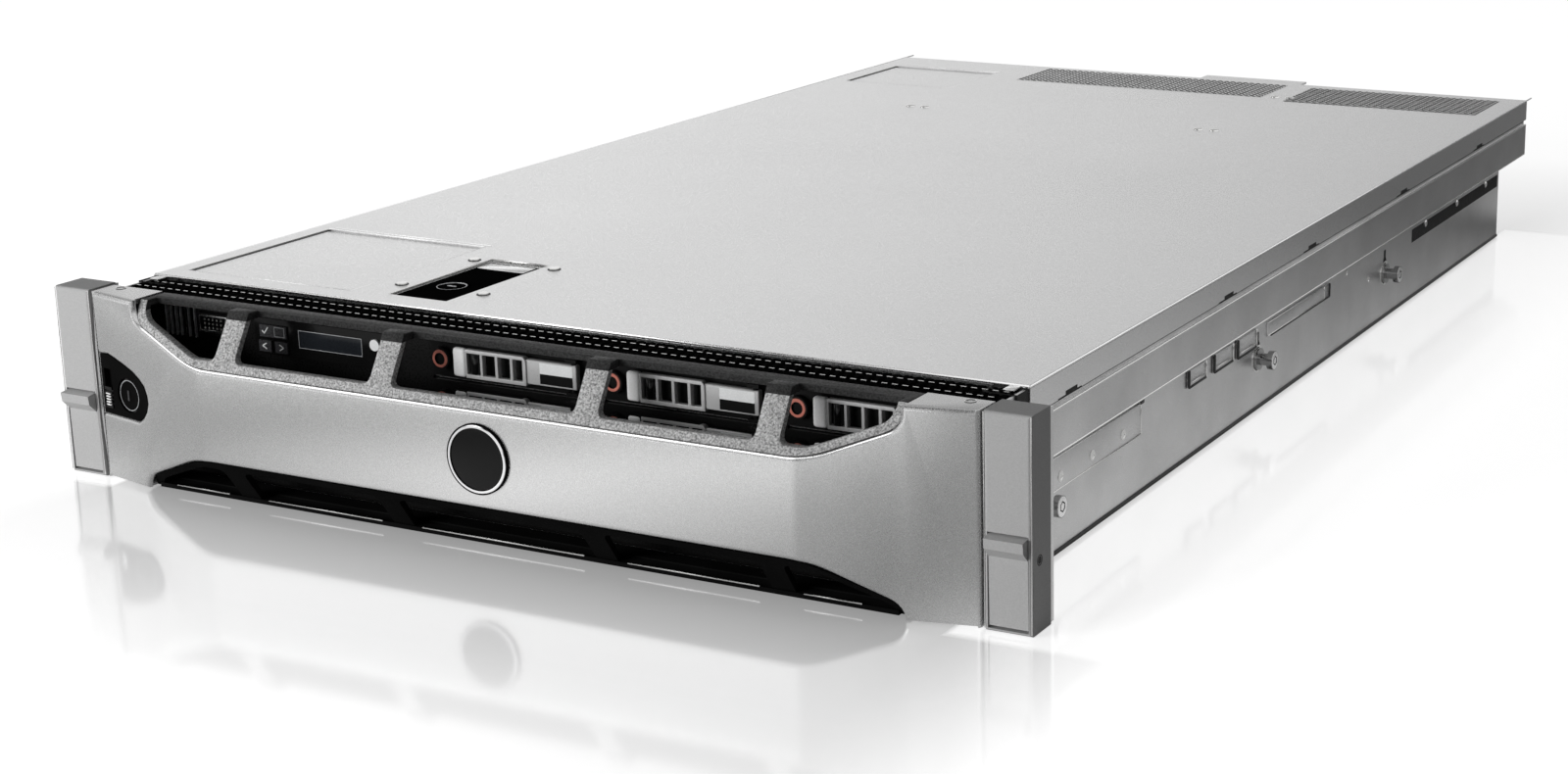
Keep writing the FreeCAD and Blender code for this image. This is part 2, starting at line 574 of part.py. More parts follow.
# Front panel: an intake sheet below, a socket sheet beside the bays, and the bars around the bays.
COLUMNS = ["drive_middle - drive_pitch", "drive_middle", "drive_middle + drive_pitch"]
ROWS = ["drive_low", "drive_low + drive_row"]
USBS = ["-(vga_left - 3)", "-(vga_left - 3 - usb_wide - 4)"]
panel_y = ("panel_back", "panel_in")
through_panel = ("panel_back - 1", "panel_in + 1")
bay_left = "((%s) - bay_wide / 2)" % COLUMNS[0]
intake_sheet = box(("-panel_half", "panel_half"), panel_y, ("sheet", "bay_low"))
intakes = []
for step in range(27):
    intakes.append(box(middle("intake_pitch * %d" % (step - 13), "intake_pitch - intake_bar"),
                       through_panel,
                       ("sheet + 5", "sheet + 5 + intake_high")))
socket_sheet = box(("-panel_half", bay_left), panel_y, ("bay_low", "strip_low"))
openings = []
openings.append(box(("-lcd_left - socket_gap", "-lcd_left + lcd_wide + socket_gap"), through_panel,
                    ("lcd_low - socket_gap", "lcd_low + lcd_high + socket_gap")))
openings.append(box(middle("-vga_left", "vga_wide + 2 * socket_gap"), through_panel,
                    middle("vga_up", "vga_high + 2 * socket_gap")))
for at in USBS:
    openings.append(box(middle(at, "usb_wide + 2 * socket_gap"), through_panel,
                        middle("usb_up", "usb_high + 2 * socket_gap")))
openings.append(rod("Y", "power_round + press_gap", through_panel, "-power_left", z="power_up"))
for step in range(4):
    spot = "-(vga_left + vga_wide / 2 + 4.6) - slot_pitch * %d" % step
    openings.append(box(middle(spot, "slot_wide"), through_panel,
                        ("vga_up - vga_high / 2 - 2.6", "vga_up + vga_high / 2 + 2.4")))
bars = [box((bay_left, "panel_half"), panel_y, ("bay_high", "strip_low"))]
for column in COLUMNS[1:]:
    bar = "(%s) - drive_pitch / 2" % column
    bars.append(box(middle(bar, "drive_pitch - bay_wide"), panel_y, ("bay_low", "bay_high")))
node("front_panel", group([cut(intake_sheet, intakes), cut(socket_sheet, openings)] + bars))

# Vent strip between the bezel and the cover.
strip_half = "(wall_out - sheet - cover_gap)"
strip = box(("-" + strip_half, strip_half), ("bezel_back + strip_gap", "cover_front - strip_gap"),
            ("strip_low", "wall_top"))
strip_lip = box(("-panel_half", "panel_half"),
                ("bezel_back + strip_gap", "bezel_back + strip_gap + sheet"),
                ("strip_low - 2", "strip_low + 0.5"))
node("front_vent_strip", fuse([strip, strip_lip]))

# Shoulder studs that hang in the rack's slide rails.
studs = []
for side in (-1, 1):
    for depth in ("stud_first", "stud_second", "stud_third"):
        ends = ["skirt", "skirt + stud_collar_long", "skirt + stud_collar_long + stud_neck_long",
                "skirt + stud_collar_long + stud_neck_long + stud_head_long"]
        steps = []
        for radius, low, high in zip(("stud_collar", "stud_neck", "stud_head"), ends, ends[1:]):
            steps.append(rod("X", radius, mirrored(side, low, high), y=depth, z="stud_up"))
        studs.append(fuse(steps))
node("rail_studs", group(studs))

# Rack ears: a steel bracket, a casting with a pocket, a slam latch lever and its pin.
brackets = []
pins = []
ears = {}
levers = {}
for side, word in ((-1, "left"), (1, "right")):
    plate = box(mirrored(side, "skirt - sheet - bracket_thick", "half"), ("ear_deep", "rack_y"),
                ("0.8", "skirt_high"))
    upper = box(mirrored(side, "skirt + 1", "half"), ("ear_deep", "rack_y"), ("0.8", "strip_low - 4"))
    tall = box(mirrored(side, "band + ear_clear", "half"), ("ear_deep", "rack_back"),
               ("0.8", "ear_high - 0.8"))
    arm = box(mirrored(side, "skirt - sheet - bracket_thick", "skirt - sheet"),
              ("ear_deep", "rack_y + bracket_reach"),
              ("skirt_high - bracket_arm_high", "skirt_high"))
    joined = [plate, upper, tall, arm]
    if side > 0:
        for low in ("low_lug", "high_lug"):
            joined.append(box(("pivot_x - pivot_round - 1.2", "pivot_x + pivot_round + 0.4"),
                              ("pivot_back - pivot_round - 0.4", "rack_y"), (low, low + " + pivot_rib")))
        joined.append(rod("Z", "pivot_round", ("pivot_low", "low_lug + pivot_rib"), "pivot_x",
                          "pivot_back"))
        joined.append(rod("Z", "pivot_round", ("high_lug", "pivot_high + pivot_rib"), "pivot_x",
                          "pivot_back"))
    brackets.append(fuse(joined))
    x = mirrored(side, "ear_in", "half")
    casting = prism("XY", [(x[0], "0"), (x[1], "0"), (x[1], "ear_deep"), (x[0], "ear_deep")],
                    ("0", "ear_high"), "Ear")
    rounded(casting, "ear_round", lambda edge: edge.BoundBox.YMax < 0.01)
    well = box(mirrored(side, "ear_in + ear_wall", "half - ear_wall"), ("-6", "ear_deep - ear_wall"),
               ("ear_wall", "lever_high + 3"))
    hollow = box(mirrored(side, "ear_in + 2 * ear_wall", "half - 2 * ear_wall"),
                 ("2 * ear_wall", "ear_deep + 1"),
                 ("lever_high + 3 + ear_wall", "ear_high - 2 * ear_wall"))
    bore = rod("X", "lever_pin_round", mirrored(side, "ear_in - 1", "half + 1"), y="lever_pin_back",
               z="lever_pin_up")
    ears[word] = cut(casting, [well, hollow, bore])
    pins.append(rod("X", "lever_pin_round", mirrored(side, "ear_in + 0.1", "half - 0.5"),
                    y="lever_pin_back", z="lever_pin_up"))
    top = "(lever_high + 2.4)"
    side_view = [
        ("0.6", "2.4"), ("0.3", top + " - 9"), ("-lever_lip + 0.5", top + " - 5"),
        ("-lever_lip", top + " - 0.8"),
        ("1.5", top), ("lever_pin_back + 3", top + " - 5"), ("lever_pin_back + 3", "lever_pin_up - 4"),
        ("0.6 + lever_thick", "lever_pin_up - 8"), ("0.6 + lever_thick", "2.4"),
    ]
    lever = prism("YZ", side_view, mirrored(side, "ear_in + ear_wall + 0.4", "half - ear_wall - 0.4"),
                  "Lever")
    lever_bore = rod("X", "lever_pin_round + turn_gap", mirrored(side, "ear_in", "half"),
                     y="lever_pin_back", z="lever_pin_up")
    levers[word] = cut(lever, [lever_bore])
node("ear_brackets", group(brackets))
node("left_ear", ears["left"])
node("right_ear", ears["right"])
node("ear_pins", group(pins))
node("left_latch_lever", levers["left"])
node("right_latch_lever", levers["right"])

# Bezel shell: a crowned wall with slanted ends, cut by the upper and the lower opening.
front = [("-bezel_half", "0"), ("-crown", "-bezel_bulge"), ("crown", "-bezel_bulge"), ("bezel_half", "0")]
back = [
    ("bezel_half", "bezel_back"), ("bezel_half - shell_thick", "bezel_back"),
    ("bezel_half - shell_thick", "shell_thick"),
    ("crown", "-bezel_bulge + shell_thick"), ("-crown", "-bezel_bulge + shell_thick"),
    ("-bezel_half + shell_thick", "shell_thick"), ("-bezel_half + shell_thick", "bezel_back"),
    ("-bezel_half", "bezel_back"),
]
shell = prism("XY", front + back, ("0", "bezel_top - bezel_margin"), "Shell")
shell.setExpression("Placement.Base.z", written("bezel_margin"))


def level(sill, up, rise):
    """A height beyond a sill, upwards or downwards."""
    return "(%s) %s (%s)" % (sill, up, rise)


def bend(x, rise, before, after):
    """Points of a soft bend at a corner, as reach and rise, from one side of it to the other."""
    points = []
    for step in range(7):
        near = (1 - step / 6) ** 2
        far = (step / 6) ** 2
        points.append(("%s - %.5f * (%s) + %.5f * (%s)" % (x, near, before[0], far, after[0]),
                       "%s - %.5f * (%s) + %.5f * (%s)" % (rise, near, before[1], far, after[1])))
    return points


def slanted(x, rise, corner, start):
    """Half an edge: its bend into the slanted part, the outer corner, and the way out of the bezel."""
    steep = "corner_bend * climb"
    turn = "%s + climb * (%s - (%s))" % (rise, corner, x)
    line = bend(x, rise, (start, "0"), ("sill_bend", "sill_bend * climb"))
    line += bend(corner, turn, ("corner_bend", steep), ("0", "corner_bend"))
    return line + [(corner, "60")]


def opening(sill, up, gap):
    """The outline of an opening in the shell, from its sill to beyond the shell's edge."""
    reach = "(diagonal - %s)" % gap
    half_line = slanted(reach, gap, "(%s + diagonal_run + corner_run)" % reach, "sill_bend")
    half_line = [(x, level(sill, up, rise)) for x, rise in half_line]
    return half_line + [("-(%s)" % x, z) for x, z in reversed(half_line)]


def crease(edge, x):
    """Whether an edge runs up the shell at a distance from its middle."""
    room = edge.BoundBox
    upright = edge.Length > 60 and room.XLength < 0.01 and room.YLength < 0.01
    return upright and abs(abs(room.XMin) - x) < 0.01


doc.recompute()
end_x = shell.Shape.BoundBox.XMax
half_crown = end_x - float(sheet.end_run)
rounded(shell, "crown_round", lambda edge: crease(edge, half_crown))
rounded(shell, "bezel_round", lambda edge: crease(edge, end_x) and edge.BoundBox.YMax < 0.01)
for sill, up in (("sill_high - bezel_margin", "+"), ("sill_low - bezel_margin", "-")):
    pocket(shell, "XZ", opening(sill, up, "0"))
caps = []
for side in (-1, 1):
    cap_in = "(diagonal + diagonal_run + corner_run + 1)"
    cap_front = "-bezel_bulge * (bezel_half - %s) / (bezel_half - crown) + shell_thick / 2" % cap_in
    plan = [(signed(side, cap_in), cap_front),
            (signed(side, "bezel_half - shell_thick / 2"), "shell_thick / 2"),
            (signed(side, "bezel_half - shell_thick / 2"), "bezel_back"),
            (signed(side, cap_in), "bezel_back")]
    caps.append(prism("XY", plan, ("bezel_margin", "bezel_margin + shell_thick"), "Cap"))
    caps.append(prism("XY", plan, ("bezel_top - shell_thick", "bezel_top"), "Cap"))


def on_end(thing, u, depth, up):
    """Set a piece on the slanted left end of the bezel: along it, into it and up."""
    angle = "slope"
    x = "-bezel_half + (%s) * cos(%s) + (%s) * sin(%s)" % (u, angle, depth, angle)
    y = "-(%s) * sin(%s) + (%s) * cos(%s)" % (u, angle, depth, angle)
    return place(thing, x, y, up)


def end_prism(points, low, high, name="Shape"):
    """A padded outline on the slanted left end of the bezel."""
    body = prism("XZ", points, (low, high), name)
    turn(body, FreeCAD.Vector(0, 0, -1), "slope")
    return on_end(body, "0", low, "0")


def end_rod(radius, low, high, u, up):
    """A rod that stands square on the slanted left end of the bezel."""
    profile = doc.addObject("PartDesign::Body", "Round")
    sketch = profile.newObject("Sketcher::SketchObject", "Circle")
    sketch.AttachmentSupport = [(datum(profile, "XZ"), "")]
    sketch.MapMode = "FlatFace"
    sketch.addGeometry(Part.Circle(FreeCAD.Vector(), FreeCAD.Vector(0, 0, 1), 5), False)
    sketch.addConstraint(Sketcher.Constraint("Coincident", 0, 3, -1, 1))
    at = sketch.addConstraint(Sketcher.Constraint("Radius", 0, 5))
    sketch.setExpression("Constraints[%d]" % at, written(radius))
    pad = profile.newObject("PartDesign::Pad", "Pad")
    pad.Profile = sketch
    pad.Reversed = True
    bind(pad, Length="(%s) - (%s)" % (high, low))
    profile.Tip = pad
    turn(profile, FreeCAD.Vector(0, 0, -1), "slope")
    return on_end(profile, u, low, up)


rib_in = "(pivot_x - pivot_round - 1.6)"
rib_plan = [
    (rib_in, "-bezel_bulge * (bezel_half - %s) / (bezel_half - crown) + shell_thick / 2" % rib_in),
    ("bezel_half - shell_thick / 2", "shell_thick / 2"),
    ("bezel_half - shell_thick / 2", "pivot_back + pivot_round + 1.6"),
    (rib_in, "pivot_back + pivot_round + 1.6"),
]
ribs = [prism("XY", rib_plan, (low, low + " + pivot_rib"), "Rib") for low in ("pivot_low", "pivot_high")]
notches = [rod("Z", "pivot_round + turn_gap", ("pivot_low - 1", "pivot_high + pivot_rib + 1"), "pivot_x",
               "pivot_back")]
for low in ("low_lug", "high_lug"):
    notches.append(box(("bezel_half - shell_thick - 1", "bezel_half + 1"),
                       ("pivot_back - 1", "bezel_back + 1"),
                       (low + " - pivot_gap", low + " + pivot_rib + pivot_gap")))
PLATE = [(0, 0), (0.78, 0), (0.88, 0.09), (0.958, 0.21), (1, 0.345), (0.991, 0.47), (0.949, 0.6),
         (0.855, 0.7), (0.735, 0.788), (0.533, 0.88), (0.304, 0.965), (0.2, 1), (0, 0.98)]
plate_points = [("plate_inset + plate_wide * %s" % along, "plate_low + plate_high * %s" % up)
                for along, up in PLATE]
plate_seat = end_prism(plate_points, "-2", "plate_back + 0.5", "Seat")
node("bezel_shell", cut(fuse([shell] + caps + ribs), [plate_seat] + notches))


def softened(x, inward, up, sill):
    """Points round a window's corner beside its sill, from the upright to the sill."""
    steps = (("0", "1"), ("0.1", "0.56"), ("0.29", "0.29"), ("0.56", "0.1"), ("1", "0"))
    return [("%s %s %s * window_round" % (x, inward, along),
             level(sill, up, "frame_lip + %s * window_round" % rise)) for along, rise in steps]


def window_frame(sill, up, high_edge):
    """A sloped frame with five windows, a lip behind the shell and a rail along the edge."""
    inner = "(bezel_bulge - shell_thick)"
    edge = "(%s)" % high_edge
    down = "-" if up == "+" else "+"
    view = [
        ("-bezel_bulge + 0.9", level(sill, up, "frame_gap")), ("0", edge), ("bezel_back", edge),
        ("bezel_back", "%s %s frame_thick" % (edge, down)),
        ("frame_thick / 2", "%s %s frame_thick" % (edge, down)),
        ("-%s + frame_thick" % inner, level(sill, up, "frame_gap + 1")),
        ("-%s + frame_thick" % inner, level(sill, up, "-frame_lip")),
        ("-%s + frame_gap" % inner, level(sill, up, "-frame_lip")),
        ("-%s + frame_gap" % inner, level(sill, up, "frame_gap")),
    ]
    long = "(diagonal + diagonal_run + corner_run + 2)"
    slab = prism("YZ", view, ("-" + long, long), "Frame")
    outline = opening(sill, up, "frame_gap")
    low_lip = [("crown - 6", level(sill, up, "0")), ("crown - 6", level(sill, up, "-frame_lip - 1"))]
    lip_outline = low_lip + [("-(%s)" % x, z) for x, z in reversed(low_lip)]
    mask = fuse([prism("XZ", outline, ("-bezel_bulge - 5", "bezel_back + 5"), "Mask"),
                 prism("XZ", lip_outline[:2] + [("-(crown - 6)", level(sill, up, "-frame_lip - 1")),
                                                ("-(crown - 6)", level(sill, up, "1")),
                                                ("crown - 6", level(sill, up, "1"))],
                       ("-bezel_bulge - 5", "bezel_back + 5"), "Mask")])
    reach = ("-bezel_bulge - 5", "rail_front")
    windows = []
    for x in (("-post_inner + post_wide / 2", "post_inner - post_wide / 2"),
              ("post_inner + post_wide / 2", "post_outer - post_wide / 2"),
              ("-post_outer + post_wide / 2", "-post_inner - post_wide / 2")):
        shape = softened(x[0], "+", up, sill) + list(reversed(softened(x[1], "-", up, sill)))
        shape += [(x[1], level(sill, up, "60")), (x[0], level(sill, up, "60"))]
        windows.append(prism("XZ", shape, reach, "Window"))
    for side in (-1, 1):
        corner = "(diagonal + diagonal_run + corner_run - window_side)"
        shape = softened("post_outer + post_wide / 2", "+", up, sill)
        edge_line = slanted("diagonal", "frame_lip", corner, "window_bend")
        shape += [(x, level(sill, up, rise)) for x, rise in edge_line]
        shape += [("post_outer + post_wide / 2", level(sill, up, "60"))]
        windows.append(prism("XZ", [(signed(side, x), z) for x, z in shape], reach, "Window"))
    return cut(common(slab, mask), windows)


node("bezel_frame", window_frame("sill_high", "+", "bezel_top - 0.4"))
node("bezel_grille", window_frame("sill_low", "-", "bezel_margin + 0.4"))

# Badge place: a plain disc in a ring.
ring_ends = ("-bezel_bulge - badge_proud", "-bezel_bulge")
ring = cut(rod("Y", "badge_round", ring_ends, z="badge_up"),
           [rod("Y", "badge_round - badge_rim", ("-bezel_bulge - badge_proud - 1", "-bezel_bulge + 1"),
                z="badge_up")])
node("badge_ring", ring)
node("badge_disc",
     rod("Y", "badge_round - badge_rim", ("-bezel_bulge - badge_proud + badge_sunk", "-bezel_bulge"),
         z="badge_up"))

# Bezel lock: plate, cylinder with a cam, and the release slider in its slot.
lock_plate = end_prism(plate_points, "plate_sunk", "plate_back", "LockPlate")
slot_points = [
    ("slider_u", "slider_z"), ("slider_u + slider_wide", "slider_z"),
    ("slider_u + slider_wide", "slider_z + slider_high + slider_travel + 2 * slider_gap"),
    ("slider_u", "slider_z + slider_high + slider_travel + 2 * slider_gap"),
]
slot = end_prism([("%s %s slider_gap" % (u, "-" if u == "slider_u" else "+"), z) for u, z in slot_points],
                 "plate_sunk - 1", "plate_back - 0.4", "Slot")
plate_bore = end_rod("lock_round + turn_gap", "plate_sunk - 1", "plate_back + 1", "lock_u", "lock_z")
node("lock_plate", cut(lock_plate, [slot, plate_bore]))
barrel = end_rod("lock_round", "lock_face", "lock_deep", "lock_u", "lock_z")
cam_points = [("lock_u - 3", "lock_z - 3"), ("lock_u + 3", "lock_z - 3"),
              ("lock_u + 3", "lock_z + lock_cam"), ("lock_u - 3", "lock_z + lock_cam")]
cam = end_prism(cam_points, "lock_deep - 0.2", "lock_deep + 2", "Cam")
key_points = [("lock_u - 0.7", "lock_z - 3"), ("lock_u + 0.7", "lock_z - 3"),
              ("lock_u + 0.7", "lock_z + 3"), ("lock_u - 0.7", "lock_z + 3")]
key = end_prism(key_points, "lock_face - 1", "lock_face + 3", "Key")
node("lock_cylinder", cut(fuse([barrel, cam]), [key]))
slider_points = [
    ("slider_u", "slider_z + slider_gap"), ("slider_u + slider_wide", "slider_z + slider_gap"),
    ("slider_u + slider_wide", "slider_z + slider_gap + slider_high"),
    ("slider_u", "slider_z + slider_gap + slider_high"),
]
slider = end_prism(slider_points, "plate_sunk - slider_proud", "plate_back - 0.6", "Slider")
grooves = []
for step in range(4):
    low = "slider_z + slider_gap + 1.4 + %d * 2" % step
    bar = [("slider_u - 1", low), ("slider_u + slider_wide + 1", low),
           ("slider_u + slider_wide + 1", low + " + 0.9"), ("slider_u - 1", low + " + 0.9")]
    grooves.append(end_prism(bar, "plate_sunk - slider_proud - 1", "plate_sunk + 0.1", "Groove"))
node("release_slider", cut(slider, grooves))

# Status display with its buttons.
face = ("lcd_front", "lcd_front + lcd_deep")
housing = box(("-lcd_left", "-lcd_left + lcd_wide"), face, ("lcd_low", "lcd_low + lcd_high"))
screen_x = ("-lcd_left + 24.6", "-lcd_left + 24.6 + screen_wide")
screen_z = ("lcd_low + 4.9", "lcd_low + 4.9 + screen_high")
screen_well = box(screen_x, ("lcd_front - 1", "lcd_front + screen_thick + 0.2"), screen_z)
BUTTONS = {
    "select_button": ("-lcd_left + 10.9", "lcd_low + 10.6", "select_wide", "select_high"),
    "left_button": ("-lcd_left + 6", "lcd_low + 3.8", "arrow_wide", "arrow_high"),
    "right_button": ("-lcd_left + 15", "lcd_low + 3.8", "arrow_wide", "arrow_high"),
}
wells = [screen_well]
well_end = "lcd_front - press_proud + button_deep + press_travel + 0.6"
for x, z, wide, tall in BUTTONS.values():
    wells.append(box(middle(x, wide + " + 2 * press_gap"), ("lcd_front - 1", well_end),
                     middle(z, tall + " + 2 * press_gap")))
identify = ("-lcd_left + lcd_wide - 4.8", "lcd_low + 10.7")
wells.append(rod("Y", "identify_round + press_gap", ("lcd_front - 1", well_end), identify[0],
                 z=identify[1]))
node("lcd_housing", cut(housing, wells))
node("lcd_screen", box(screen_x, ("lcd_front + 0.2", "lcd_front + 0.2 + screen_thick"), screen_z))
press = ("lcd_front - press_proud", "lcd_front - press_proud + button_deep")
for label, (x, z, wide, tall) in BUTTONS.items():
    node(label, box(middle(x, wide), press, middle(z, tall)))
node("id_button", rod("Y", "identify_round", press, identify[0], z=identify[1]))

# Front sockets and the power switch.
sockets = []
SOCKETS = [("-vga_left", "vga_up", "vga_wide", "vga_high")]
for at in USBS:
    SOCKETS.append((at, "usb_up", "usb_wide", "usb_high"))
for at, up, wide, tall in SOCKETS:
    outer = box(middle(at, wide), ("panel_back - socket_proud", "panel_in + socket_deep"),
                middle(up, tall))
    flange = box(middle(at, wide + " + 3"), ("panel_in", "panel_in + 2"), middle(up, tall + " + 3"))
    mouth = box(middle(at, wide + " - 2.4"), ("panel_back - socket_proud - 1", "panel_back + 4"),
                middle(up, tall + " - 2.4"))
    sockets.append(cut(fuse([outer, flange]), [mouth]))
switch = box(middle("-power_left", "3 * power_round"), ("panel_in", "panel_in + switch_deep"),
             middle("power_up", "3 * power_round"))
power_ends = ("panel_back - 2.5", "panel_in + 3")
switch_well = rod("Y", "power_round + press_gap", ("panel_in - 1", "panel_in + 3 + press_travel + 0.6"),
                  "-power_left", z="power_up")
sockets.append(cut(switch, [switch_well]))
node("front_connectors", group(sockets))
node("power_button", rod("Y", "power_round", power_ends, "-power_left", z="power_up"))

# Drive cage: four walls beside the columns, with a shelf under, between and over the rows of each column.
cage_y = ("panel_in", "cage_back")
cage_low = "bay_low - sheet"
cage_top = "bay_high + cage_thick"
shelf_low = "drive_low + drive_high + drive_gap"
shelf_end = "skirt - sheet - drive_gap"
walls = []
faces = []
for column in COLUMNS:
    faces.append(("(%s) - bay_wide / 2" % column, "(%s) + bay_wide / 2" % column))
walls.append((faces[0][0] + " - cage_thick", faces[0][0], cage_low))
walls.append((faces[0][1], faces[1][0], cage_low))
walls.append((faces[1][1], faces[2][0], cage_low))
walls.append((faces[2][1], faces[2][1] + " + cage_thick", "bay_low"))
plates = [box(wall[:2], cage_y, (wall[2], cage_top)) for wall in walls]
for x in faces:
    ends = (x[0], shelf_end) if x is faces[2] else x
    plates.append(box(ends, cage_y, (cage_low, "bay_low")))
    plates.append(box(x, cage_y, (shelf_low, shelf_low + " + shelf_thick")))
    plates.append(box(x, cage_y, ("bay_high", cage_top)))
node("drive_cage", group(plates))
backplane = box((walls[0][0], shelf_end), ("cage_back", "cage_back + backplane_thick"),
                (cage_low, cage_top))
vents = []
plugs = []
for column in COLUMNS:
    for row in ROWS:
        mid = middle(row + " + drive_high / 2", "6")
        plugs.append(box(middle(column, "0.48 * drive_wide"), ("cage_back - plug_deep", "cage_back"),
                         mid))
        vents.append(box(("(%s) + 0.3 * drive_wide" % column, "(%s) + 0.45 * drive_wide" % column),
                         ("cage_back - 1", "cage_back + backplane_thick + 1"),
                         middle(row + " + drive_high / 2", "10")))
node("drive_backplane", fuse([cut(backplane, vents)] + plugs))


def carrier(column, low, with_handle):
    """A drive in its carrier: a face, two rails, a drive, and the lugs and pin of its handle."""
    mid = "(%s) + drive_high / 2" % low
    full = (low, "(%s) + drive_high" % low)
    face_y = ("drive_front", "drive_front + face_thick")
    solid = [box(middle(column, "drive_wide"), face_y, full)]
    for side in (-1, 1):
        edge = ("(%s) %s drive_wide / 2" % (column, "-" if side < 0 else "+"))
        x = (edge, edge + " + rail_thick") if side < 0 else (edge + " - rail_thick", edge)
        solid.append(box(x, ("drive_front + face_thick - 1", "drive_front + drive_deep"), full))
    pin_y = "drive_front - handle_gap - handle_knuckle"
    pin_x = "(%s) + handle_pin" % column
    lug_x = middle(pin_x, "2 * handle_knuckle + 1")
    lug_y = (pin_y + " - handle_knuckle", "drive_front + 1")
    pin_z = (low + " + 0.4", "(%s) + drive_high - 0.4" % low)
    solid.append(box(lug_x, lug_y, (pin_z[0], pin_z[0] + " + lug_high")))
    solid.append(box(lug_x, lug_y, (pin_z[1] + " - lug_high", pin_z[1])))
    solid.append(rod("Z", "handle_pin_round", (pin_z[0] + " + 0.5", pin_z[1] + " - 0.5"), pin_x, pin_y))
    press_x = "(%s) - release_left" % column
    well = rod("Y", "release_round + press_gap", ("drive_front - 1", "drive_front + 3"), press_x, z=mid)
    frame = cut(fuse(solid), [well])
    drive = box(("(%s) - drive_wide / 2 + rail_thick" % column,
                 "(%s) + drive_wide / 2 - rail_thick" % column),
                ("drive_front + face_thick", "drive_front + drive_deep - 6"),
                (low + " + 0.8", "(%s) + drive_high - 0.8" % low))
    grip_y = ("drive_front - handle_gap - handle_thick", "drive_front - handle_gap")
    grip = box(("(%s) - handle_left" % column, "(%s) + handle_step" % column), grip_y,
               middle(mid, "handle_high"))
    tongue = box(("(%s) + handle_step - 1" % column, pin_x), (grip_y[0] + " + 1", grip_y[1]),
                 middle(mid, "tongue_high"))
    knuckle_high = "drive_high - 0.8 - 2 * lug_high - 2 * handle_gap"
    knuckle = rod("Z", "handle_knuckle", middle(mid, knuckle_high), pin_x, pin_y)
    holes = [rod("Z", "handle_pin_round + turn_gap", (low, full[1]), pin_x, pin_y)]
    for step in range(4):
        holes.append(box(middle("(%s) - handle_left + 8 + grip_pitch * %d" % (column, step), "grip_slot"),
                         (grip_y[0] + " - 1", grip_y[1] + " + 1"), middle(mid, "handle_high - 5")))
    handle = cut(fuse([grip, tongue, knuckle]), holes)
    press_start = "drive_front - release_deep + 2"
    button = rod("Y", "release_round", (press_start, press_start + " + release_deep"), press_x, z=mid)
    if with_handle:
        return group([frame, drive]), handle, button
    return group([frame, drive, handle, button]), None, None


for number, column in enumerate(COLUMNS, 1):
    bay, handle, button = carrier(column, ROWS[1], True)
    node("drive_upper_%d" % number, bay)
    node("drive_handle_%d" % number, handle)
    node("drive_release_%d" % number, button)
    bay, handle, button = carrier(column, ROWS[0], False)
    node("drive_lower_%d" % number, bay)

# Fans: a bracket across the tray, three frames with a rear web and shaft, three rotors.
FANS = ["-fan_pitch", "0", "fan_pitch"]
bracket_half = "(skirt - sheet - 4)"
bracket = box(("-" + bracket_half, bracket_half), ("fan_back", "fan_in"), ("sheet", "sheet + fan_side"))
rings = [rod("Y", "fan_bore", ("fan_back - 1", "fan_in + 1"), at, z="fan_z") for at in FANS]
node("fan_bracket", cut(bracket, rings))
frames = []
fan_end = "fan_in + fan_deep"
for at in FANS:
    square = box(middle(at, "fan_side"), ("fan_in", fan_end), ("sheet", "sheet + fan_side"))
    tube = cut(square, [rod("Y", "fan_bore", ("fan_in - 1", fan_end + " + 1"), at, z="fan_z")])
    web = (fan_end + " - fan_web", fan_end)
    arms = [rod("Y", "fan_hub", web, at, z="fan_z"),
            box(middle(at, "fan_side - 2"), web, middle("fan_z", "6")),
            box(middle(at, "6"), web, middle("fan_z", "fan_side - 2")),
            rod("Y", "fan_shaft", ("fan_in + 6", web[1]), at, z="fan_z")]
    frames.append(fuse([tube] + arms))
node("fan_frames", group(frames))
for number, at in enumerate(FANS, 1):
    hub = rod("Y", "fan_hub", ("fan_in + 2", fan_end + " - fan_web - 1"), at, z="fan_z")
    blades = [hub]
    for step in range(7):
        blade = doc.addObject("Part::Box", "Blade")
        bind(blade, Length="fan_bore - fan_tip_gap - fan_hub + 3", Width="fan_deep * 0.52", Height="2")
        tilt = FreeCAD.Rotation(FreeCAD.Vector(1, 0, 0), 38)
        around = FreeCAD.Rotation(FreeCAD.Vector(0, 1, 0), 360 / 7 * step)
        blade.Placement = FreeCAD.Placement(FreeCAD.Vector(), around.multiply(tilt))
        reach = around.multVec(FreeCAD.Vector(1, 0, 0))
        out = "(fan_hub - 3)"
        place(blade, "(%s) + %.6f * %s" % (at, reach.x, out), "fan_in + 8",
              "fan_z + %.6f * %s" % (reach.z, out))
        blades.append(blade)
    rim = rod("Y", "fan_bore - fan_tip_gap", ("fan_in + 2", fan_end + " - fan_web - 1"), at, z="fan_z")
    shaft = rod("Y", "fan_shaft + turn_gap", ("fan_in + 5", fan_end), at, z="fan_z")
    node("fan_rotor_%d" % number, cut(common(fuse(blades), rim), [shaft]))

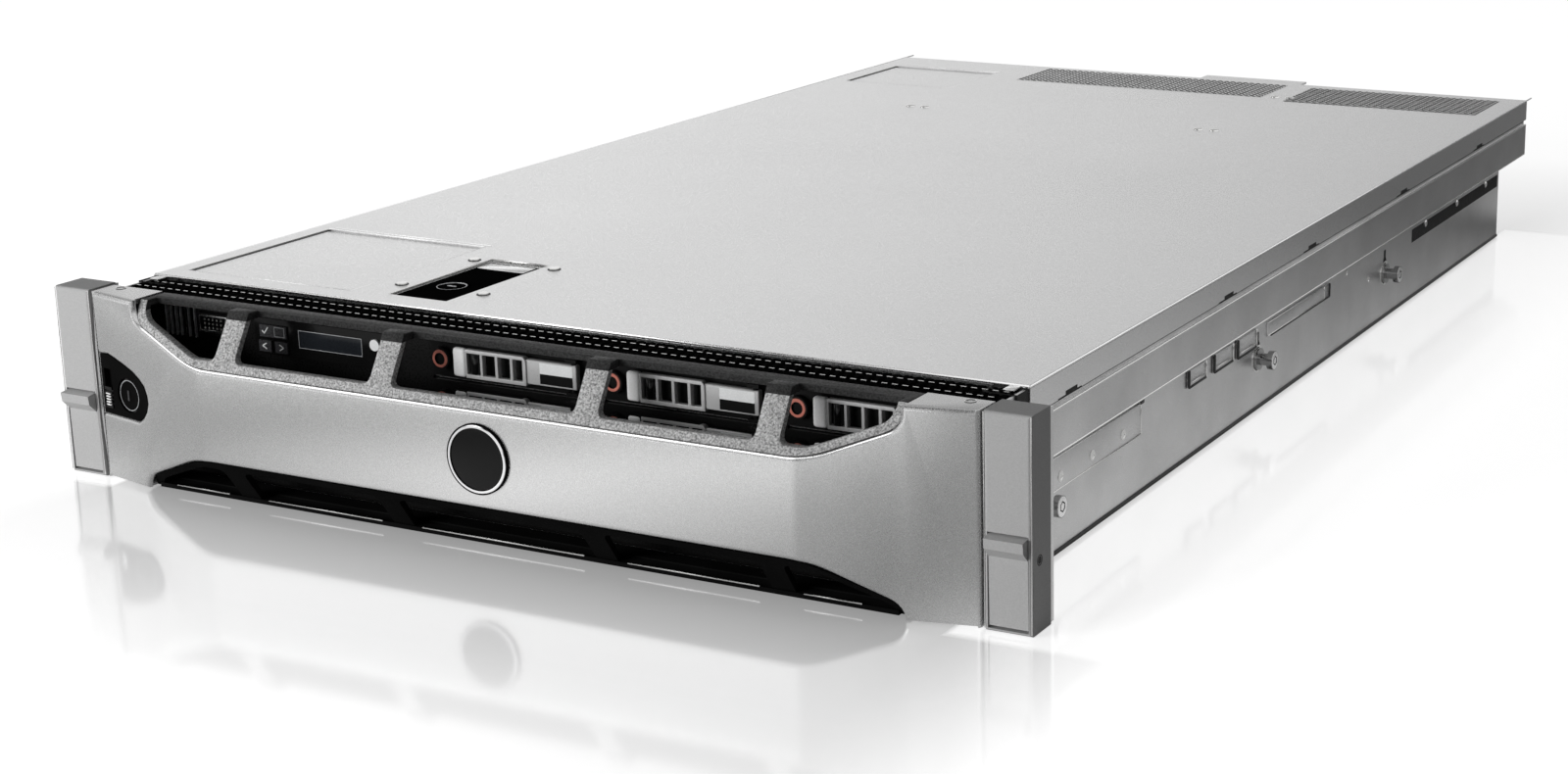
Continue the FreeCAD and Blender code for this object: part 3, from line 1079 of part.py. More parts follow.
# System board on standoffs, with processor sockets.
CHIPS = []
for y in ("board_front + 0.26 * board_span", "board_front + 0.71 * board_span"):
    CHIPS.append(("-chip_side_x", y))
    CHIPS.append(("chip_side_x", y))
wide_part = box(("-board_half", "board_half"), ("board_front", "board_mid"), ("board_up", "board_top"))
long_part = box(("-board_half", "board_right"), ("board_mid - 1", "rear_wall - sheet - 2"),
                ("board_up", "board_top"))
chips = [box(middle(x, "chip_side"), middle(y, "chip_side"), ("board_top", "sink_low")) for x, y in CHIPS]
posts = []
for x in ("-board_half + 10", "0", "board_half - 10"):
    for y in ("board_front + 10", "board_mid - 12"):
        posts.append(rod("Z", "post_round", ("sheet", "board_up"), x, y))
for x in ("-board_half + 10", "board_right - 10"):
    posts.append(rod("Z", "post_round", ("sheet", "board_up"), x, "rear_wall - 30"))
node("system_board", fuse([wide_part, long_part] + chips + posts))
sinks = []
for x, y in CHIPS:
    block = box(middle(x, "sink_wide"), middle(y, "sink_long"), ("sink_low", "sink_low + sink_high"))
    gaps = []
    for step in range(10):
        spot = "(%s) + fin_pitch * (%s)" % (x, step - 4.5)
        gaps.append(box(middle(spot, "fin_gap"), middle(y, "sink_long + 2"),
                        ("sink_low + sink_base", "sink_low + sink_high + 1")))
    sinks.append(cut(block, gaps))
node("heat_sinks", group(sinks))
modules = []
for side in (-1, 1):
    for step in range(8):
        for y in ("board_front + module_gap", "board_front + 2 * module_gap + module_long"):
            x = "%d * (board_half - 8 - module_pitch * %d)" % (side, step)
            modules.append(box(middle(x, "module_thick"), (y, y + " + module_long"),
                               ("board_top", "board_top + module_high")))
node("memory_modules", group(modules))

# Expansion: riser cards on the board and covers behind the rear slots.
risers = []
riser_y = ("rear_wall - riser_back - riser_long", "rear_wall - riser_back")
for x in ("-board_half + riser_inset", "board_right - riser_inset"):
    risers.append(box(middle(x, "riser_thick"), riser_y, ("board_top", "board_top + riser_high")))
node("riser_cards", group(risers))
covers = []
for at in REAR_SLOTS:
    covers.append(box(middle(at, "cover_plate_wide"), ("cover_back - 2 * sheet", "cover_back - sheet"),
                      middle("slot_line", "cover_plate_high")))
node("slot_covers", group(covers))
ports = []
for label, at, wide, tall in PORTS:
    shell_box = box(middle(at, wide), ("rear_wall - port_deep", "rear_wall + port_proud"),
                    ("board_top", "board_top + " + tall))
    mouth = box(middle(at, wide + " - 2 * port_wall"),
                ("rear_wall - port_mouth", "rear_wall + port_proud + 1"),
                ("board_top + port_wall", "board_top + %s - port_wall" % tall))
    ports.append(cut(shell_box, [mouth]))
node("rear_connectors", group(ports))

# Power supplies: four walls, an end block, the frame of the inlet with its prongs, and a pull handle.
for label, at in PSUS:
    outer_x = middle(at, "psu_wide")
    inner_x = middle(at, "psu_wide - 2 * psu_wall")
    outer_z = ("psu_low", "psu_low + psu_high")
    inner_z = ("psu_low + psu_wall", "psu_low + psu_high - psu_wall")
    inlet_x = middle("(%s) - inlet_off" % at, "inlet_wide")
    inlet_z = middle("psu_low + psu_high / 2", "inlet_high")
    wall_y = ("rear_wall - psu_long", "rear_wall - inlet_deep - psu_wall")
    end_y = (wall_y[1], "rear_wall - inlet_deep")
    face_y = (end_y[1], "rear_wall")
    case = [
        box((outer_x[0], inner_x[0]), wall_y, outer_z),
        box((inner_x[1], outer_x[1]), wall_y, outer_z),
        box(inner_x, wall_y, (outer_z[0], inner_z[0])),
        box(inner_x, wall_y, (inner_z[1], outer_z[1])),
        box(outer_x, end_y, outer_z),
        box((outer_x[0], inlet_x[0]), face_y, outer_z),
        box((inlet_x[1], outer_x[1]), face_y, outer_z),
        box(inlet_x, face_y, (outer_z[0], inlet_z[0])),
        box(inlet_x, face_y, (inlet_z[1], outer_z[1])),
    ]
    for dx in ("-prong_pitch", "0", "prong_pitch"):
        case.append(box(middle("(%s) - inlet_off + (%s)" % (at, dx), "prong_thick"),
                        ("rear_wall - inlet_deep", "rear_wall - prong_back"),
                        middle("psu_low + psu_high / 2", "prong_high")))
    grip_x = middle("(%s) + grip_off" % at, "psu_bar")
    grip_z = middle("psu_low + psu_high / 2", "psu_grip")
    arm_y = ("rear_wall", "rear_wall + psu_handle - psu_bar")
    bar_y = (arm_y[1], "rear_wall + psu_handle")
    case.append(box(grip_x, bar_y, grip_z))
    case.append(box(grip_x, arm_y, (grip_z[0], grip_z[0] + " + psu_bar")))
    case.append(box(grip_x, arm_y, (grip_z[1] + " - psu_bar", grip_z[1])))
    node(label, group(case))

# Top cover with stamped recesses, a latch opening and a rear tab.
profile = [
    ("-band", "cover_high - cover_flange"), ("-band", "cover_high"), ("band", "cover_high"),
    ("band", "cover_high - cover_flange"),
    ("band - sheet", "cover_high - cover_flange"), ("band - sheet", "cover_high - sheet"),
    ("-band + sheet", "cover_high - sheet"), ("-band + sheet", "cover_high - cover_flange"),
]
lid = prism("XZ", profile, ("cover_front", "cover_back"), "Cover")
doc.recompute()
lid_top = lid.Tip.Shape.BoundBox.ZMax
lid_side = lid.Tip.Shape.BoundBox.XMax
rounded(lid, "cover_round", lambda edge: edge.Length > 100 and abs(edge.BoundBox.ZMin - lid_top) < 0.01
        and abs(abs(edge.BoundBox.XMin) - lid_side) < 0.01 and edge.BoundBox.XLength < 0.01)
tab = box(("1", "1 + cover_tab_wide"), ("cover_back - 1", "cover_back + cover_tab"),
          ("cover_high - sheet", "cover_high"))
stamped = ("cover_high - recess_deep", "cover_high + 1")
label_recess = box(("-band + 9.5", "-band + 9.5 + label_recess_wide"),
                   ("cover_front + 12", "cover_front + 12 + label_recess_long"), stamped)
rear_recess = box(("-band + 13.5", "-band + 13.5 + rear_recess_wide"),
                  ("cover_back - 38 - rear_recess_long", "cover_back - 38"), stamped)
latch_hole = box(("-latch_left", "latch_right"), ("latch_front", "latch_back"),
                 ("cover_high - 2 * sheet", "cover_high + 1"))
RIVETS = [(x, y) for x in ("-latch_left - pan_lip / 2 - 1",
                           "latch_right + pan_lip / 2 + 1") for y in ("latch_front + 17",
                                                                      "latch_back - 4")]
bores = [rod("Z", "rivet_shank", ("cover_high - 2 * sheet", "cover_high + 1"), x, y) for x, y in RIVETS]
fold_half = "(wall_out - sheet - cover_gap)"
fold = box(("-" + fold_half, fold_half), ("cover_front", "cover_front + sheet"),
           ("cover_high - cover_fold", "cover_high - sheet / 2"))
node("top_cover", cut(fuse([lid, tab, fold]), [label_recess, rear_recess, latch_hole] + bores))

# Latch in the cover: a pan riveted under it, a lever on a pin and a coin lock in the lever.
under = "(cover_high - sheet)"
lip = box(("-latch_left - pan_lip", "latch_right + pan_lip"), ("latch_front - 6", "latch_back + 6"),
          (under + " - pan_wall", under))
tub = box(("-latch_left", "latch_right"), ("latch_front", "latch_back"), ("latch_low - pan_wall", under))
hollow = box(("-latch_left + pan_wall", "latch_right - pan_wall"),
             ("latch_front + pan_wall", "latch_back - pan_wall"), ("latch_low", under + " + 1"))
pan_pin = rod("X", "latch_pin_round", ("-latch_left - 1", "latch_right + 1"), y="hinge_y", z="hinge_z")
pan_bores = [rod("Z", "rivet_shank", (under + " - 2 * pan_wall", under + " + 1"), x, y) for x,
             y in RIVETS]
node("latch_pan", cut(fuse([lip, tub]), [hollow, pan_pin] + pan_bores))
node("latch_pin",
     rod("X", "latch_pin_round", ("-latch_left + 0.2", "latch_right - 0.2"), y="hinge_y", z="hinge_z"))
rivets = []
for x, y in RIVETS:
    rivets.append(fuse([rod("Z", "rivet_round", ("cover_high", "cover_high + rivet_rise"), x, y),
                        rod("Z", "rivet_shank", (under + " - pan_wall - 0.6", "cover_high + 0.2"), x, y),
                        rod("Z", "rivet_round", (under + " - pan_wall - 0.6", under + " - pan_wall"), x,
                            y)]))
node("cover_rivets", group(rivets))
lever_x = ("-latch_left + pan_wall + latch_gap", "latch_right - pan_wall - latch_gap")
lever_end = "latch_back - pan_wall - 2.5"
blade = box(lever_x, ("hinge_y - latch_knuckle", lever_end), ("hinge_z", "hinge_z + latch_thick"))
knuckle = rod("X", "latch_knuckle", lever_x, y="hinge_y", z="hinge_z")
pin_bore = rod("X", "latch_pin_round + turn_gap", ("-latch_left", "latch_right"), y="hinge_y",
               z="hinge_z")
coin = ("(-latch_left + latch_right) / 2", "latch_front + coin_back")
coin_bore = rod("Z", "coin_round + turn_gap", ("hinge_z - 1", "hinge_z + latch_thick + 1"), *coin)
finger = box((lever_x[0] + " + 3", lever_x[1] + " - 3"),
             (lever_end + " - 2 - latch_window", lever_end + " - 2"),
             ("hinge_z - 1", "hinge_z + latch_thick + 1"))
node("cover_latch", cut(fuse([blade, knuckle]), [pin_bore, coin_bore, finger]))
coin_body = fuse([rod("Z", "coin_round", ("hinge_z - 0.6", "hinge_z + latch_thick + 0.3"), *coin),
                  rod("Z", "coin_round + 1.2", ("hinge_z - 2", "hinge_z - 0.3"), *coin)])
coin_slot = box(middle(coin[0], "9"), middle(coin[1], "1.6"),
                ("hinge_z + latch_thick - 1", "hinge_z + latch_thick + 1"))
node("cover_lock", cut(coin_body, [coin_slot]))

doc.recompute()
os.makedirs("parts", exist_ok=True)
for thing in doc.Objects:
    if "Invalid" in thing.State or "Error" in thing.State:
        raise RuntimeError("%s (%s) did not build: %s" % (thing.Name, thing.Label, thing.State))
for thing in NODES:
    if thing.Shape.isNull() or not thing.Shape.isValid() or not thing.Shape.Solids:
        raise RuntimeError("%s has no sound shape" % thing.Label)
    thing.Shape.exportStep(os.path.join("parts", thing.Label + ".step"))
print(len(NODES), "nodes")
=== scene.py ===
"""Looks for a two-unit rack server: finishes, small pieces, floor, light and camera."""

import math

import bpy
from mathutils import Matrix, Vector


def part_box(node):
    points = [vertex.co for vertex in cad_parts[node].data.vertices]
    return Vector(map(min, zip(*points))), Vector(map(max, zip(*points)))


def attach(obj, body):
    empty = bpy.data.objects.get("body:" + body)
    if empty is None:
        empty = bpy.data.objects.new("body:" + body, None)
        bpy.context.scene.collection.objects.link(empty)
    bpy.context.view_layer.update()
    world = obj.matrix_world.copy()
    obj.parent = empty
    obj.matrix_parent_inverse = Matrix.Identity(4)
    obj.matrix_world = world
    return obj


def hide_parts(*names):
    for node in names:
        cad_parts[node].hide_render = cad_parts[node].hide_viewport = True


bl_info = {
    "name": "Rack Server Looks",
    "version": (1, 0, 0),
    "blender": (4, 5, 0),
    "location": "3D View > Sidebar > Rack Server",
    "description": "Dresses the packed rack server with finishes, vents, carriers and trim",
    "category": "Object",
}

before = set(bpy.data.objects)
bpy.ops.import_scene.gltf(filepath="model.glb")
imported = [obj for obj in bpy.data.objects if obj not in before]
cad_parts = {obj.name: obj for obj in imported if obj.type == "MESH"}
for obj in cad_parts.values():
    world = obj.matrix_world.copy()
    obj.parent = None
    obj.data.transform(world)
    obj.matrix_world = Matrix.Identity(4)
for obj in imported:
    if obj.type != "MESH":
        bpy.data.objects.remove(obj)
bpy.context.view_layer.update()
EAR_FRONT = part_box("left_ear")[0].y
COVER_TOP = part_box("top_cover")[1].z
FINISHES = {}

# Places in millimetres. Depths are measured from the faces of the rack ears. TOP is the
# cover's upper face, and WALL is the outer face of the chassis side below its wide band.
# Pairs of numbers give x and depth on the cover. Pairs of spans give x and depth on the
# cover, and depth and height on the sides. Drive rows give a rise and a shift in depth.
TOP = COVER_TOP * 1000
WALL = 210.0
BEZEL_BULGE, BEZEL_END_RUN = 14.5, 71.6
POSTS = (-134.5, -51.3, 51.3, 134.5)
BADGE_UP = 42.2
COVER_RIVETS = ((-105, 71), (-105, 123), (-60, 71), (-60, 123))
COVER_DIMPLES = ((-122, 580), (-112, 580), (72, 578), (82, 578), (73, 705), (83, 705))
COVER_HOOKS = (76, 246, 358, 505, 651)
COVER_RECESSES = (("front_recess", (-212, -118), (52, 147)),
                  ("rear_recess", (-208, -132), (650, 719)))
COVER_VENTS = (("cover_vent_left", (-107, 65), (700, 750)),
               ("cover_vent_right", (83, 207), (692, 746)))
STUDS, STUD_UP = (74, 316, 512), 26
SIDE_PLATES = (((58, 172), (28, 42)), ((328, 418), (34, 41)))
PLATE_FOLDS = (((58, 172), (28, 42)), ((328, 410), (34.6, 41)))
SIDE_TABS = (((227, 247), (34.5, 42.5)), ((258, 281), (33.8, 42.3)), ((288, 312), (33, 42)))
DRIVE_COLUMNS = (-6.5, 80.2, 166.9)
DRIVE_ROWS = (("upper", 0, 0), ("lower", -18.2, -0.1))
SUPPLY_MIDDLES = (69.5, 160.5)
SUPPLY_BACK = 740

# Turns that point a disc, whose face looks to -Y, another way. SLOPE is that of the
# bezel's left end.
SLOPE = -math.atan2(BEZEL_BULGE, BEZEL_END_RUN)
FACE_SLOPE = (0, 0, SLOPE)
FACE_UP = (-math.pi / 2, 0, 0)
FACE_RIGHT = (0, 0, math.pi / 2)
FACE_REAR = (0, 0, math.pi)

# Distance in metres under which points are merged.
WELD = 0.00002

# Heights in millimetres of the black sheets of painted shade under the cover vents, and of the
# vents' sheets above the cover.
SHADE_SHEET_RISE, VENT_RISE = 0.05, 0.22


def spot(x, y, z):
    """A point from millimetres, with depth measured from the faces of the rack ears."""
    return Vector((x / 1000, y / 1000 + EAR_FRONT, z / 1000))


# Modelling helpers. Their lengths are in metres, except where they say millimetres.

def clear_selection():
    if bpy.context.object and bpy.context.object.mode != "OBJECT":
        bpy.ops.object.mode_set(mode="OBJECT")
    bpy.ops.object.select_all(action="DESELECT")


def make_active(obj):
    clear_selection()
    obj.select_set(True)
    bpy.context.view_layer.objects.active = obj


def remove(obj):
    make_active(obj)
    bpy.ops.object.delete()


def settle(obj):
    """Put the place of an object into its mesh."""
    make_active(obj)
    bpy.ops.object.transform_apply(location=True, rotation=True, scale=True)
    return obj


def put(obj, at, turn=(0, 0, 0)):
    """Turn a piece about the origin and set it down at a point."""
    obj.rotation_euler = turn
    obj.location = at
    return settle(obj)


def smooth(obj, angle):
    """Shade a piece smoothly across edges flatter than an angle in degrees."""
    make_active(obj)
    bpy.ops.object.shade_smooth_by_angle(angle=math.radians(angle))
    return obj


def apply_modifiers(obj):
    make_active(obj)
    for modifier in list(obj.modifiers):
        bpy.ops.object.modifier_apply(modifier=modifier.name)
    return obj


def edit_all(obj):
    """Enter edit mode with everything selected."""
    make_active(obj)
    bpy.ops.object.mode_set(mode="EDIT")
    bpy.ops.mesh.select_all(action="SELECT")


def leave_edit():
    bpy.ops.object.mode_set(mode="OBJECT")


def everywhere(centre, normal):
    return True


def facing(axis, way=1):
    """A test for faces that look along an axis."""
    index = "XYZ".index(axis)
    return lambda centre, normal: normal[index] * way > 0.9


def within_ring(inner, outer, front):
    """A test for the faces of a disc between two radii and before a depth."""
    return lambda centre, normal: (inner < Vector((centre.x, centre.z)).length < outer
                                   and centre.y < front)


def pick_faces(obj, wanted):
    """Enter edit mode with only the faces selected that the test picks."""
    make_active(obj)
    mesh = obj.data
    for part in (mesh.vertices, mesh.edges):
        for item in part:
            item.select = False
    for face in mesh.polygons:
        face.select = bool(wanted(face.center, face.normal))
    if not any(face.select for face in mesh.polygons):
        raise RuntimeError("no face was picked on " + obj.name)
    bpy.ops.object.mode_set(mode="EDIT")
    bpy.ops.mesh.select_mode(type="FACE")


def step_faces(obj, wanted, *steps):
    """Inset the picked faces again and again, each time with a push."""
    pick_faces(obj, wanted)
    for inset, push in steps:
        bpy.ops.mesh.inset(thickness=inset)
        if any(push):
            bpy.ops.transform.translate(value=push)
    leave_edit()
    return obj


def block(name, low, high):
    """A block between two corners, ready to be shaped."""
    clear_selection()
    low, high = Vector(low), Vector(high)
    bpy.ops.mesh.primitive_cube_add(size=1, location=(low + high) / 2, scale=high - low)
    bpy.context.object.name = name
    return settle(bpy.context.object)


def disc(name, at, radius, depth, axis, sides):
    """A round start piece along an axis, centred on a point."""
    clear_selection()
    turn = {"X": (0, math.pi / 2, 0), "Y": (math.pi / 2, 0, 0), "Z": (0, 0, 0)}[axis]
    bpy.ops.mesh.primitive_cylinder_add(vertices=sides, radius=radius, depth=depth, location=at,
                                        rotation=turn)
    bpy.context.object.name = name
    return settle(bpy.context.object)


def stepped_disc(name, radius, depth, steps, sides):
    """A disc that faces -Y at the origin, its face stepped inwards by insets and pushes."""
    obj = disc(name, (0, depth / 2, 0), radius, depth, "Y", sides)
    step_faces(obj, facing("Y", -1), *((inset, (0, push, 0)) for inset, push in steps))
    return smooth(obj, 30)


def soften(obj, width, segments=2, angle=35):
    """Round the edges and shade the piece smoothly."""
    rounding = obj.modifiers.new("Rounding", "BEVEL")
    rounding.width = width
    rounding.segments = segments
    rounding.limit_method = "ANGLE"
    rounding.angle_limit = math.radians(angle)
    return smooth(apply_modifiers(obj), 40)


def soft_block(name, low, high, width, segments=2):
    return soften(block(name, low, high), width, segments)


def thicken(obj, depth):
    """Give a sheet a wall behind its face."""
    wall = obj.modifiers.new("Wall", "SOLIDIFY")
    wall.thickness = depth
    wall.offset = -1
    return apply_modifiers(obj)


def repeat(obj, count, offset, weld=0.0):
    """Add a row of copies, to be applied later."""
    row = obj.modifiers.new("Row", "ARRAY")
    row.count = count
    row.use_relative_offset = False
    row.use_constant_offset = True
    row.constant_offset_displace = offset
    if weld:
        row.use_merge_vertices = True
        row.merge_threshold = weld


def sheet(name, low, high, face="Z"):
    """A flat sheet between two corners that faces along an axis."""
    clear_selection()
    low, high = Vector(low), Vector(high)
    size = high - low
    turn, wide, tall = {"Z": ((0, 0, 0), size.x, size.y),
                        "-Y": ((math.pi / 2, 0, 0), size.x, size.z),
                        "X": ((math.pi / 2, 0, math.pi / 2), size.y, size.z)}[face]
    bpy.ops.mesh.primitive_plane_add(size=1, location=(low + high) / 2, rotation=turn)
    obj = bpy.context.object
    obj.name = name
    obj.scale = (wide, tall, 1)
    return settle(obj)


def slice_at(obj, axis, values):
    """Cut a sheet across at each value on an axis."""
    edit_all(obj)
    normal = Vector((axis == "X", axis == "Y", axis == "Z"))
    for value in values:
        bpy.ops.mesh.select_all(action="SELECT")
        bpy.ops.mesh.bisect(plane_co=normal * value, plane_no=normal)
    leave_edit()


def trim(obj, at, normal, keep_front=False):
    """Cut off what lies before a plane, or behind it, and close the cut."""
    edit_all(obj)
    bpy.ops.mesh.bisect(plane_co=at, plane_no=normal, clear_inner=keep_front,
                        clear_outer=not keep_front, use_fill=True)
    leave_edit()
    return obj


def open_windows(obj, axes, windows):
    """Cut rectangular windows, given as spans on two axes, out of a sheet."""
    for index, axis in enumerate(axes):
        values = sorted({round(value, 7) for window in windows for value in window[index]})
        slice_at(obj, axis, values)
    order = ["XYZ".index(axis) for axis in axes]

    def inside(centre, normal):
        return any(all(span[0] < centre[i] < span[1] for i, span in zip(order, window))
                   for window in windows)

    pick_faces(obj, inside)
    bpy.ops.mesh.delete(type="FACE")
    leave_edit()


def copy_of(obj, name):
    make_active(obj)
    bpy.ops.object.duplicate(linked=False)
    bpy.context.object.name = name
    return bpy.context.object


def moved_copy(obj, offset, name):
    """A copy of a piece with its own mesh, moved by an offset."""
    return put(copy_of(obj, name), offset)


def mirrored(obj, name):
    """The same piece on the other side of the middle."""
    twin = copy_of(obj, name)
    twin.scale = (-1, 1, 1)
    edit_all(settle(twin))
    bpy.ops.mesh.normals_make_consistent(inside=False)
    leave_edit()
    return twin


def join(objs, name):
    clear_selection()
    for obj in objs:
        obj.select_set(True)
    bpy.context.view_layer.objects.active = objs[0]
    if len(objs) > 1:
        bpy.ops.object.join()
    bpy.context.object.name = name
    return bpy.context.object


def paint(obj, *finishes):
    """Set the finishes of a piece, the first one on all its faces."""
    obj.data.materials.clear()
    for finish in finishes:
        obj.data.materials.append(FINISHES[finish])
    return obj


def recolour(obj, index, wanted):
    """Give the faces that the test picks another of the piece's finishes."""
    for face in obj.data.polygons:
        if wanted(face.center, face.normal):
            face.material_index = index


def dress(obj, body, slot, *stands_for):
    """Give a painted piece the body that it moves with and hide the nodes it replaces. The slot is
    not used.
    """
    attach(obj, body)
    if stands_for:
        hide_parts(*stands_for)


def group(objs, name, finish, body, slot):
    """Join pieces of one finish and dress them as one."""
    dress(paint(join(objs, name), finish), body, slot)


def both_sides(piece, body, slot):
    """Dress a piece that is named for the right side and its mirror image on the left."""
    twin = mirrored(piece, piece.name.replace("right", "left"))
    for side in (piece, twin):
        dress(side, body, slot)


def rim_upright(name, x, z, front, width, depth):
    """A frame round a rectangle on an upright face, given in millimetres."""
    obj = sheet(name, spot(x[0] - width, front, z[0] - width),
                spot(x[1] + width, front, z[1] + width), "-Y")
    open_windows(obj, "XZ", [((x[0] / 1000, x[1] / 1000), (z[0] / 1000, z[1] / 1000))])
    thicken(obj, depth / 1000)
    return soften(obj, depth / 5000)


def stroke(start, end, width):
    """A thin bar between two points of the display's face, given in millimetres."""
    front, depth = 14.08, 0.2
    run = Vector((end[0] - start[0], end[1] - start[1]))
    half = run.length / 2000
    obj = block("stroke", (-half, 0, -width / 2000), (half, depth / 1000, width / 2000))
    at = spot((start[0] + end[0]) / 2, front, (start[1] + end[1]) / 2)
    put(obj, at, (0, -math.atan2(run.y, run.x), 0))
    return soften(obj, width / 8000, 1)


def rod(start, end, radius):
    """A thin rod between two points on a line along an axis, its ends rounded off."""
    start, end = Vector(start), Vector(end)
    run = end - start
    axis = "XYZ"[max(range(3), key=lambda index: abs(run[index]))]
    return soften(disc("rod", (start + end) / 2, radius, run.length, axis, 8), radius / 3, 1)


def line(start, end, radius):
    """A rod between two points that are given in millimetres."""
    return rod(spot(*start), spot(*end), radius)


def node_copy(node, name):
    """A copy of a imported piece, its triangles joined into whole faces."""
    obj = bpy.data.objects.new(name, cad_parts[node].data.copy())
    obj.data.materials.clear()
    bpy.context.scene.collection.objects.link(obj)
    make_active(obj)
    bpy.ops.mesh.customdata_custom_splitnormals_clear()
    edit_all(obj)
    bpy.ops.mesh.remove_doubles(threshold=WELD)
    bpy.ops.mesh.dissolve_limited(angle_limit=math.radians(1))
    leave_edit()
    return obj


def round_edges(obj, width, segments, wanted):
    """Bevel the edges whose two face normals pass a test."""
    make_active(obj)
    sides = {}
    for face in obj.data.polygons:
        face.select = False
        for key in face.edge_keys:
            sides.setdefault(key, []).append(face.normal.copy())
    for vertex in obj.data.vertices:
        vertex.select = False
    for edge in obj.data.edges:
        pair = sides.get(edge.key, [])
        edge.select = len(pair) == 2 and wanted(*pair)
    bpy.context.tool_settings.mesh_select_mode = (False, True, False)
    bpy.ops.object.mode_set(mode="EDIT")
    bpy.ops.mesh.bevel(offset=width, segments=segments, affect="EDGES", clamp_overlap=False)
    leave_edit()
    bpy.context.tool_settings.mesh_select_mode = (False, False, True)
    return smooth(obj, 32)


def perforated(name, low, high, pitch, hole, thickness, lip=0.0):
    """A sheet of round holes in rows, facing up at the height of its corners."""
    sides, lip_spread = 8, 1.18
    half_side = (0, 0, math.pi / sides)
    low, high = Vector(low), Vector(high)
    across = max(1, round((high.x - low.x) / pitch))
    along = max(1, round((high.y - low.y) / pitch))
    step = Vector(((high.x - low.x) / across, (high.y - low.y) / along, 0))
    middle = low + step / 2
    middle.z = high.z
    rings = []
    for radius, rise in ((hole, lip), (hole * lip_spread, 0), (1, 0)):
        clear_selection()
        bpy.ops.mesh.primitive_circle_add(vertices=sides, radius=radius, rotation=half_side,
                                          location=middle + Vector((0, 0, rise)))
        rings.append(settle(bpy.context.object))
    for vertex in rings[-1].data.vertices:
        away = vertex.co - middle
        reach = 2 * max(abs(away.x), abs(away.y))
        vertex.co = middle + Vector((away.x / reach * step.x, away.y / reach * step.y, 0))
    cell = join(rings, name)
    edit_all(cell)
    bpy.ops.mesh.bridge_edge_loops()
    bpy.ops.mesh.normals_make_consistent(inside=False)
    leave_edit()
    repeat(cell, across, (step.x, 0, 0), WELD)
    repeat(cell, along, (0, step.y, 0), WELD)
    apply_modifiers(cell)
    if cell.data.polygons[0].normal.z < 0:
        edit_all(cell)
        bpy.ops.mesh.flip_normals()
        leave_edit()
    return thicken(cell, thickness)


# Finishes

def scaled(colour, factor):
    return tuple(min(1.0, part * factor) for part in colour)


class Net:
    """The nodes of a material or a world, with the sums and patterns that they share."""

    def __init__(self, owner):
        owner.use_nodes = True
        self.nodes = owner.node_tree.nodes
        self.link = owner.node_tree.links.new
        self.place = self.nodes.new("ShaderNodeTexCoord").outputs

    def add(self, kind, **numbers):
        """A new node, with numbers set on its sockets."""
        node = self.nodes.new("ShaderNode" + kind)
        for socket, number in numbers.items():
            node.inputs[socket.replace("_", " ")].default_value = number
        return node

    def sum(self, operation, first, second=0.0):
        """The result of a sum on two values, each a number or a socket."""
        node = self.add("Math")
        node.operation = operation
        for socket, value in zip(node.inputs, (first, second)):
            if isinstance(value, (int, float)):
                socket.default_value = value
            else:
                self.link(value, socket)
        return node.outputs["Value"]

    def times(self, first, second):
        return self.sum("MULTIPLY", first, second)

    def most(self, first, second):
        return self.sum("MAXIMUM", first, second)

    def span(self, value, low, high, start=0.3, end=0.7):
        """A value that runs from low to high while another runs from start to end."""
        node = self.add("MapRange", From_Min=start, From_Max=end, To_Min=low, To_Max=high)
        self.link(value, node.inputs["Value"])
        return node.outputs["Result"]

    def axes(self, coordinates):
        node = self.add("SeparateXYZ")
        self.link(self.place[coordinates], node.inputs["Vector"])
        return node.outputs

    def noise(self, scale, detail=3.0, roughness=0.55):
        node = self.add("TexNoise", Scale=scale, Detail=detail, Roughness=roughness)
        self.link(self.place["Object"], node.inputs["Vector"])
        return node.outputs["Fac"]

    def lay(self, pattern, colour, shift, gloss, metal, specular):
        """Set the shader: a tone that shifts by a pattern, its gloss and its metal."""
        mix = self.add("Mix")
        mix.data_type = "RGBA"
        mix.inputs["A"].default_value = (*scaled(colour, 1 - shift), 1)
        mix.inputs["B"].default_value = (*scaled(colour, 1 + shift), 1)
        self.link(pattern, mix.inputs["Factor"])
        sockets = self.nodes["Principled BSDF"].inputs
        self.link(mix.outputs["Result"], sockets["Base Color"])
        self.link(gloss, sockets["Roughness"])
        sockets["Metallic"].default_value = metal
        sockets["Specular IOR Level"].default_value = specular

    def emboss(self, height, strength, depth):
        """Raise the surface by a pattern."""
        relief = self.add("Bump", Strength=strength, Distance=depth)
        self.link(height, relief.inputs["Height"])
        self.link(relief.outputs["Normal"], self.nodes["Principled BSDF"].inputs["Normal"])


def new_finish(name):
    FINISHES[name] = bpy.data.materials.new(name)
    return Net(FINISHES[name])


def surface(name, colour, metal, roughness, drift, cloud, grain, bump, depth=0.00005,
            gloss_span=0.08, specular=0.5):
    """A finish with slow colour drift, a fine grain in its gloss, and a bump of that grain."""
    net = new_finish(name)
    clouds = net.span(net.noise(cloud), 0, 1)
    fine = net.noise(grain, 2.0)
    gloss = net.span(fine, max(0.02, roughness - gloss_span), roughness + gloss_span)
    net.lay(clouds, colour, drift, gloss, metal, specular)
    if bump:
        net.emboss(fine, bump, depth)


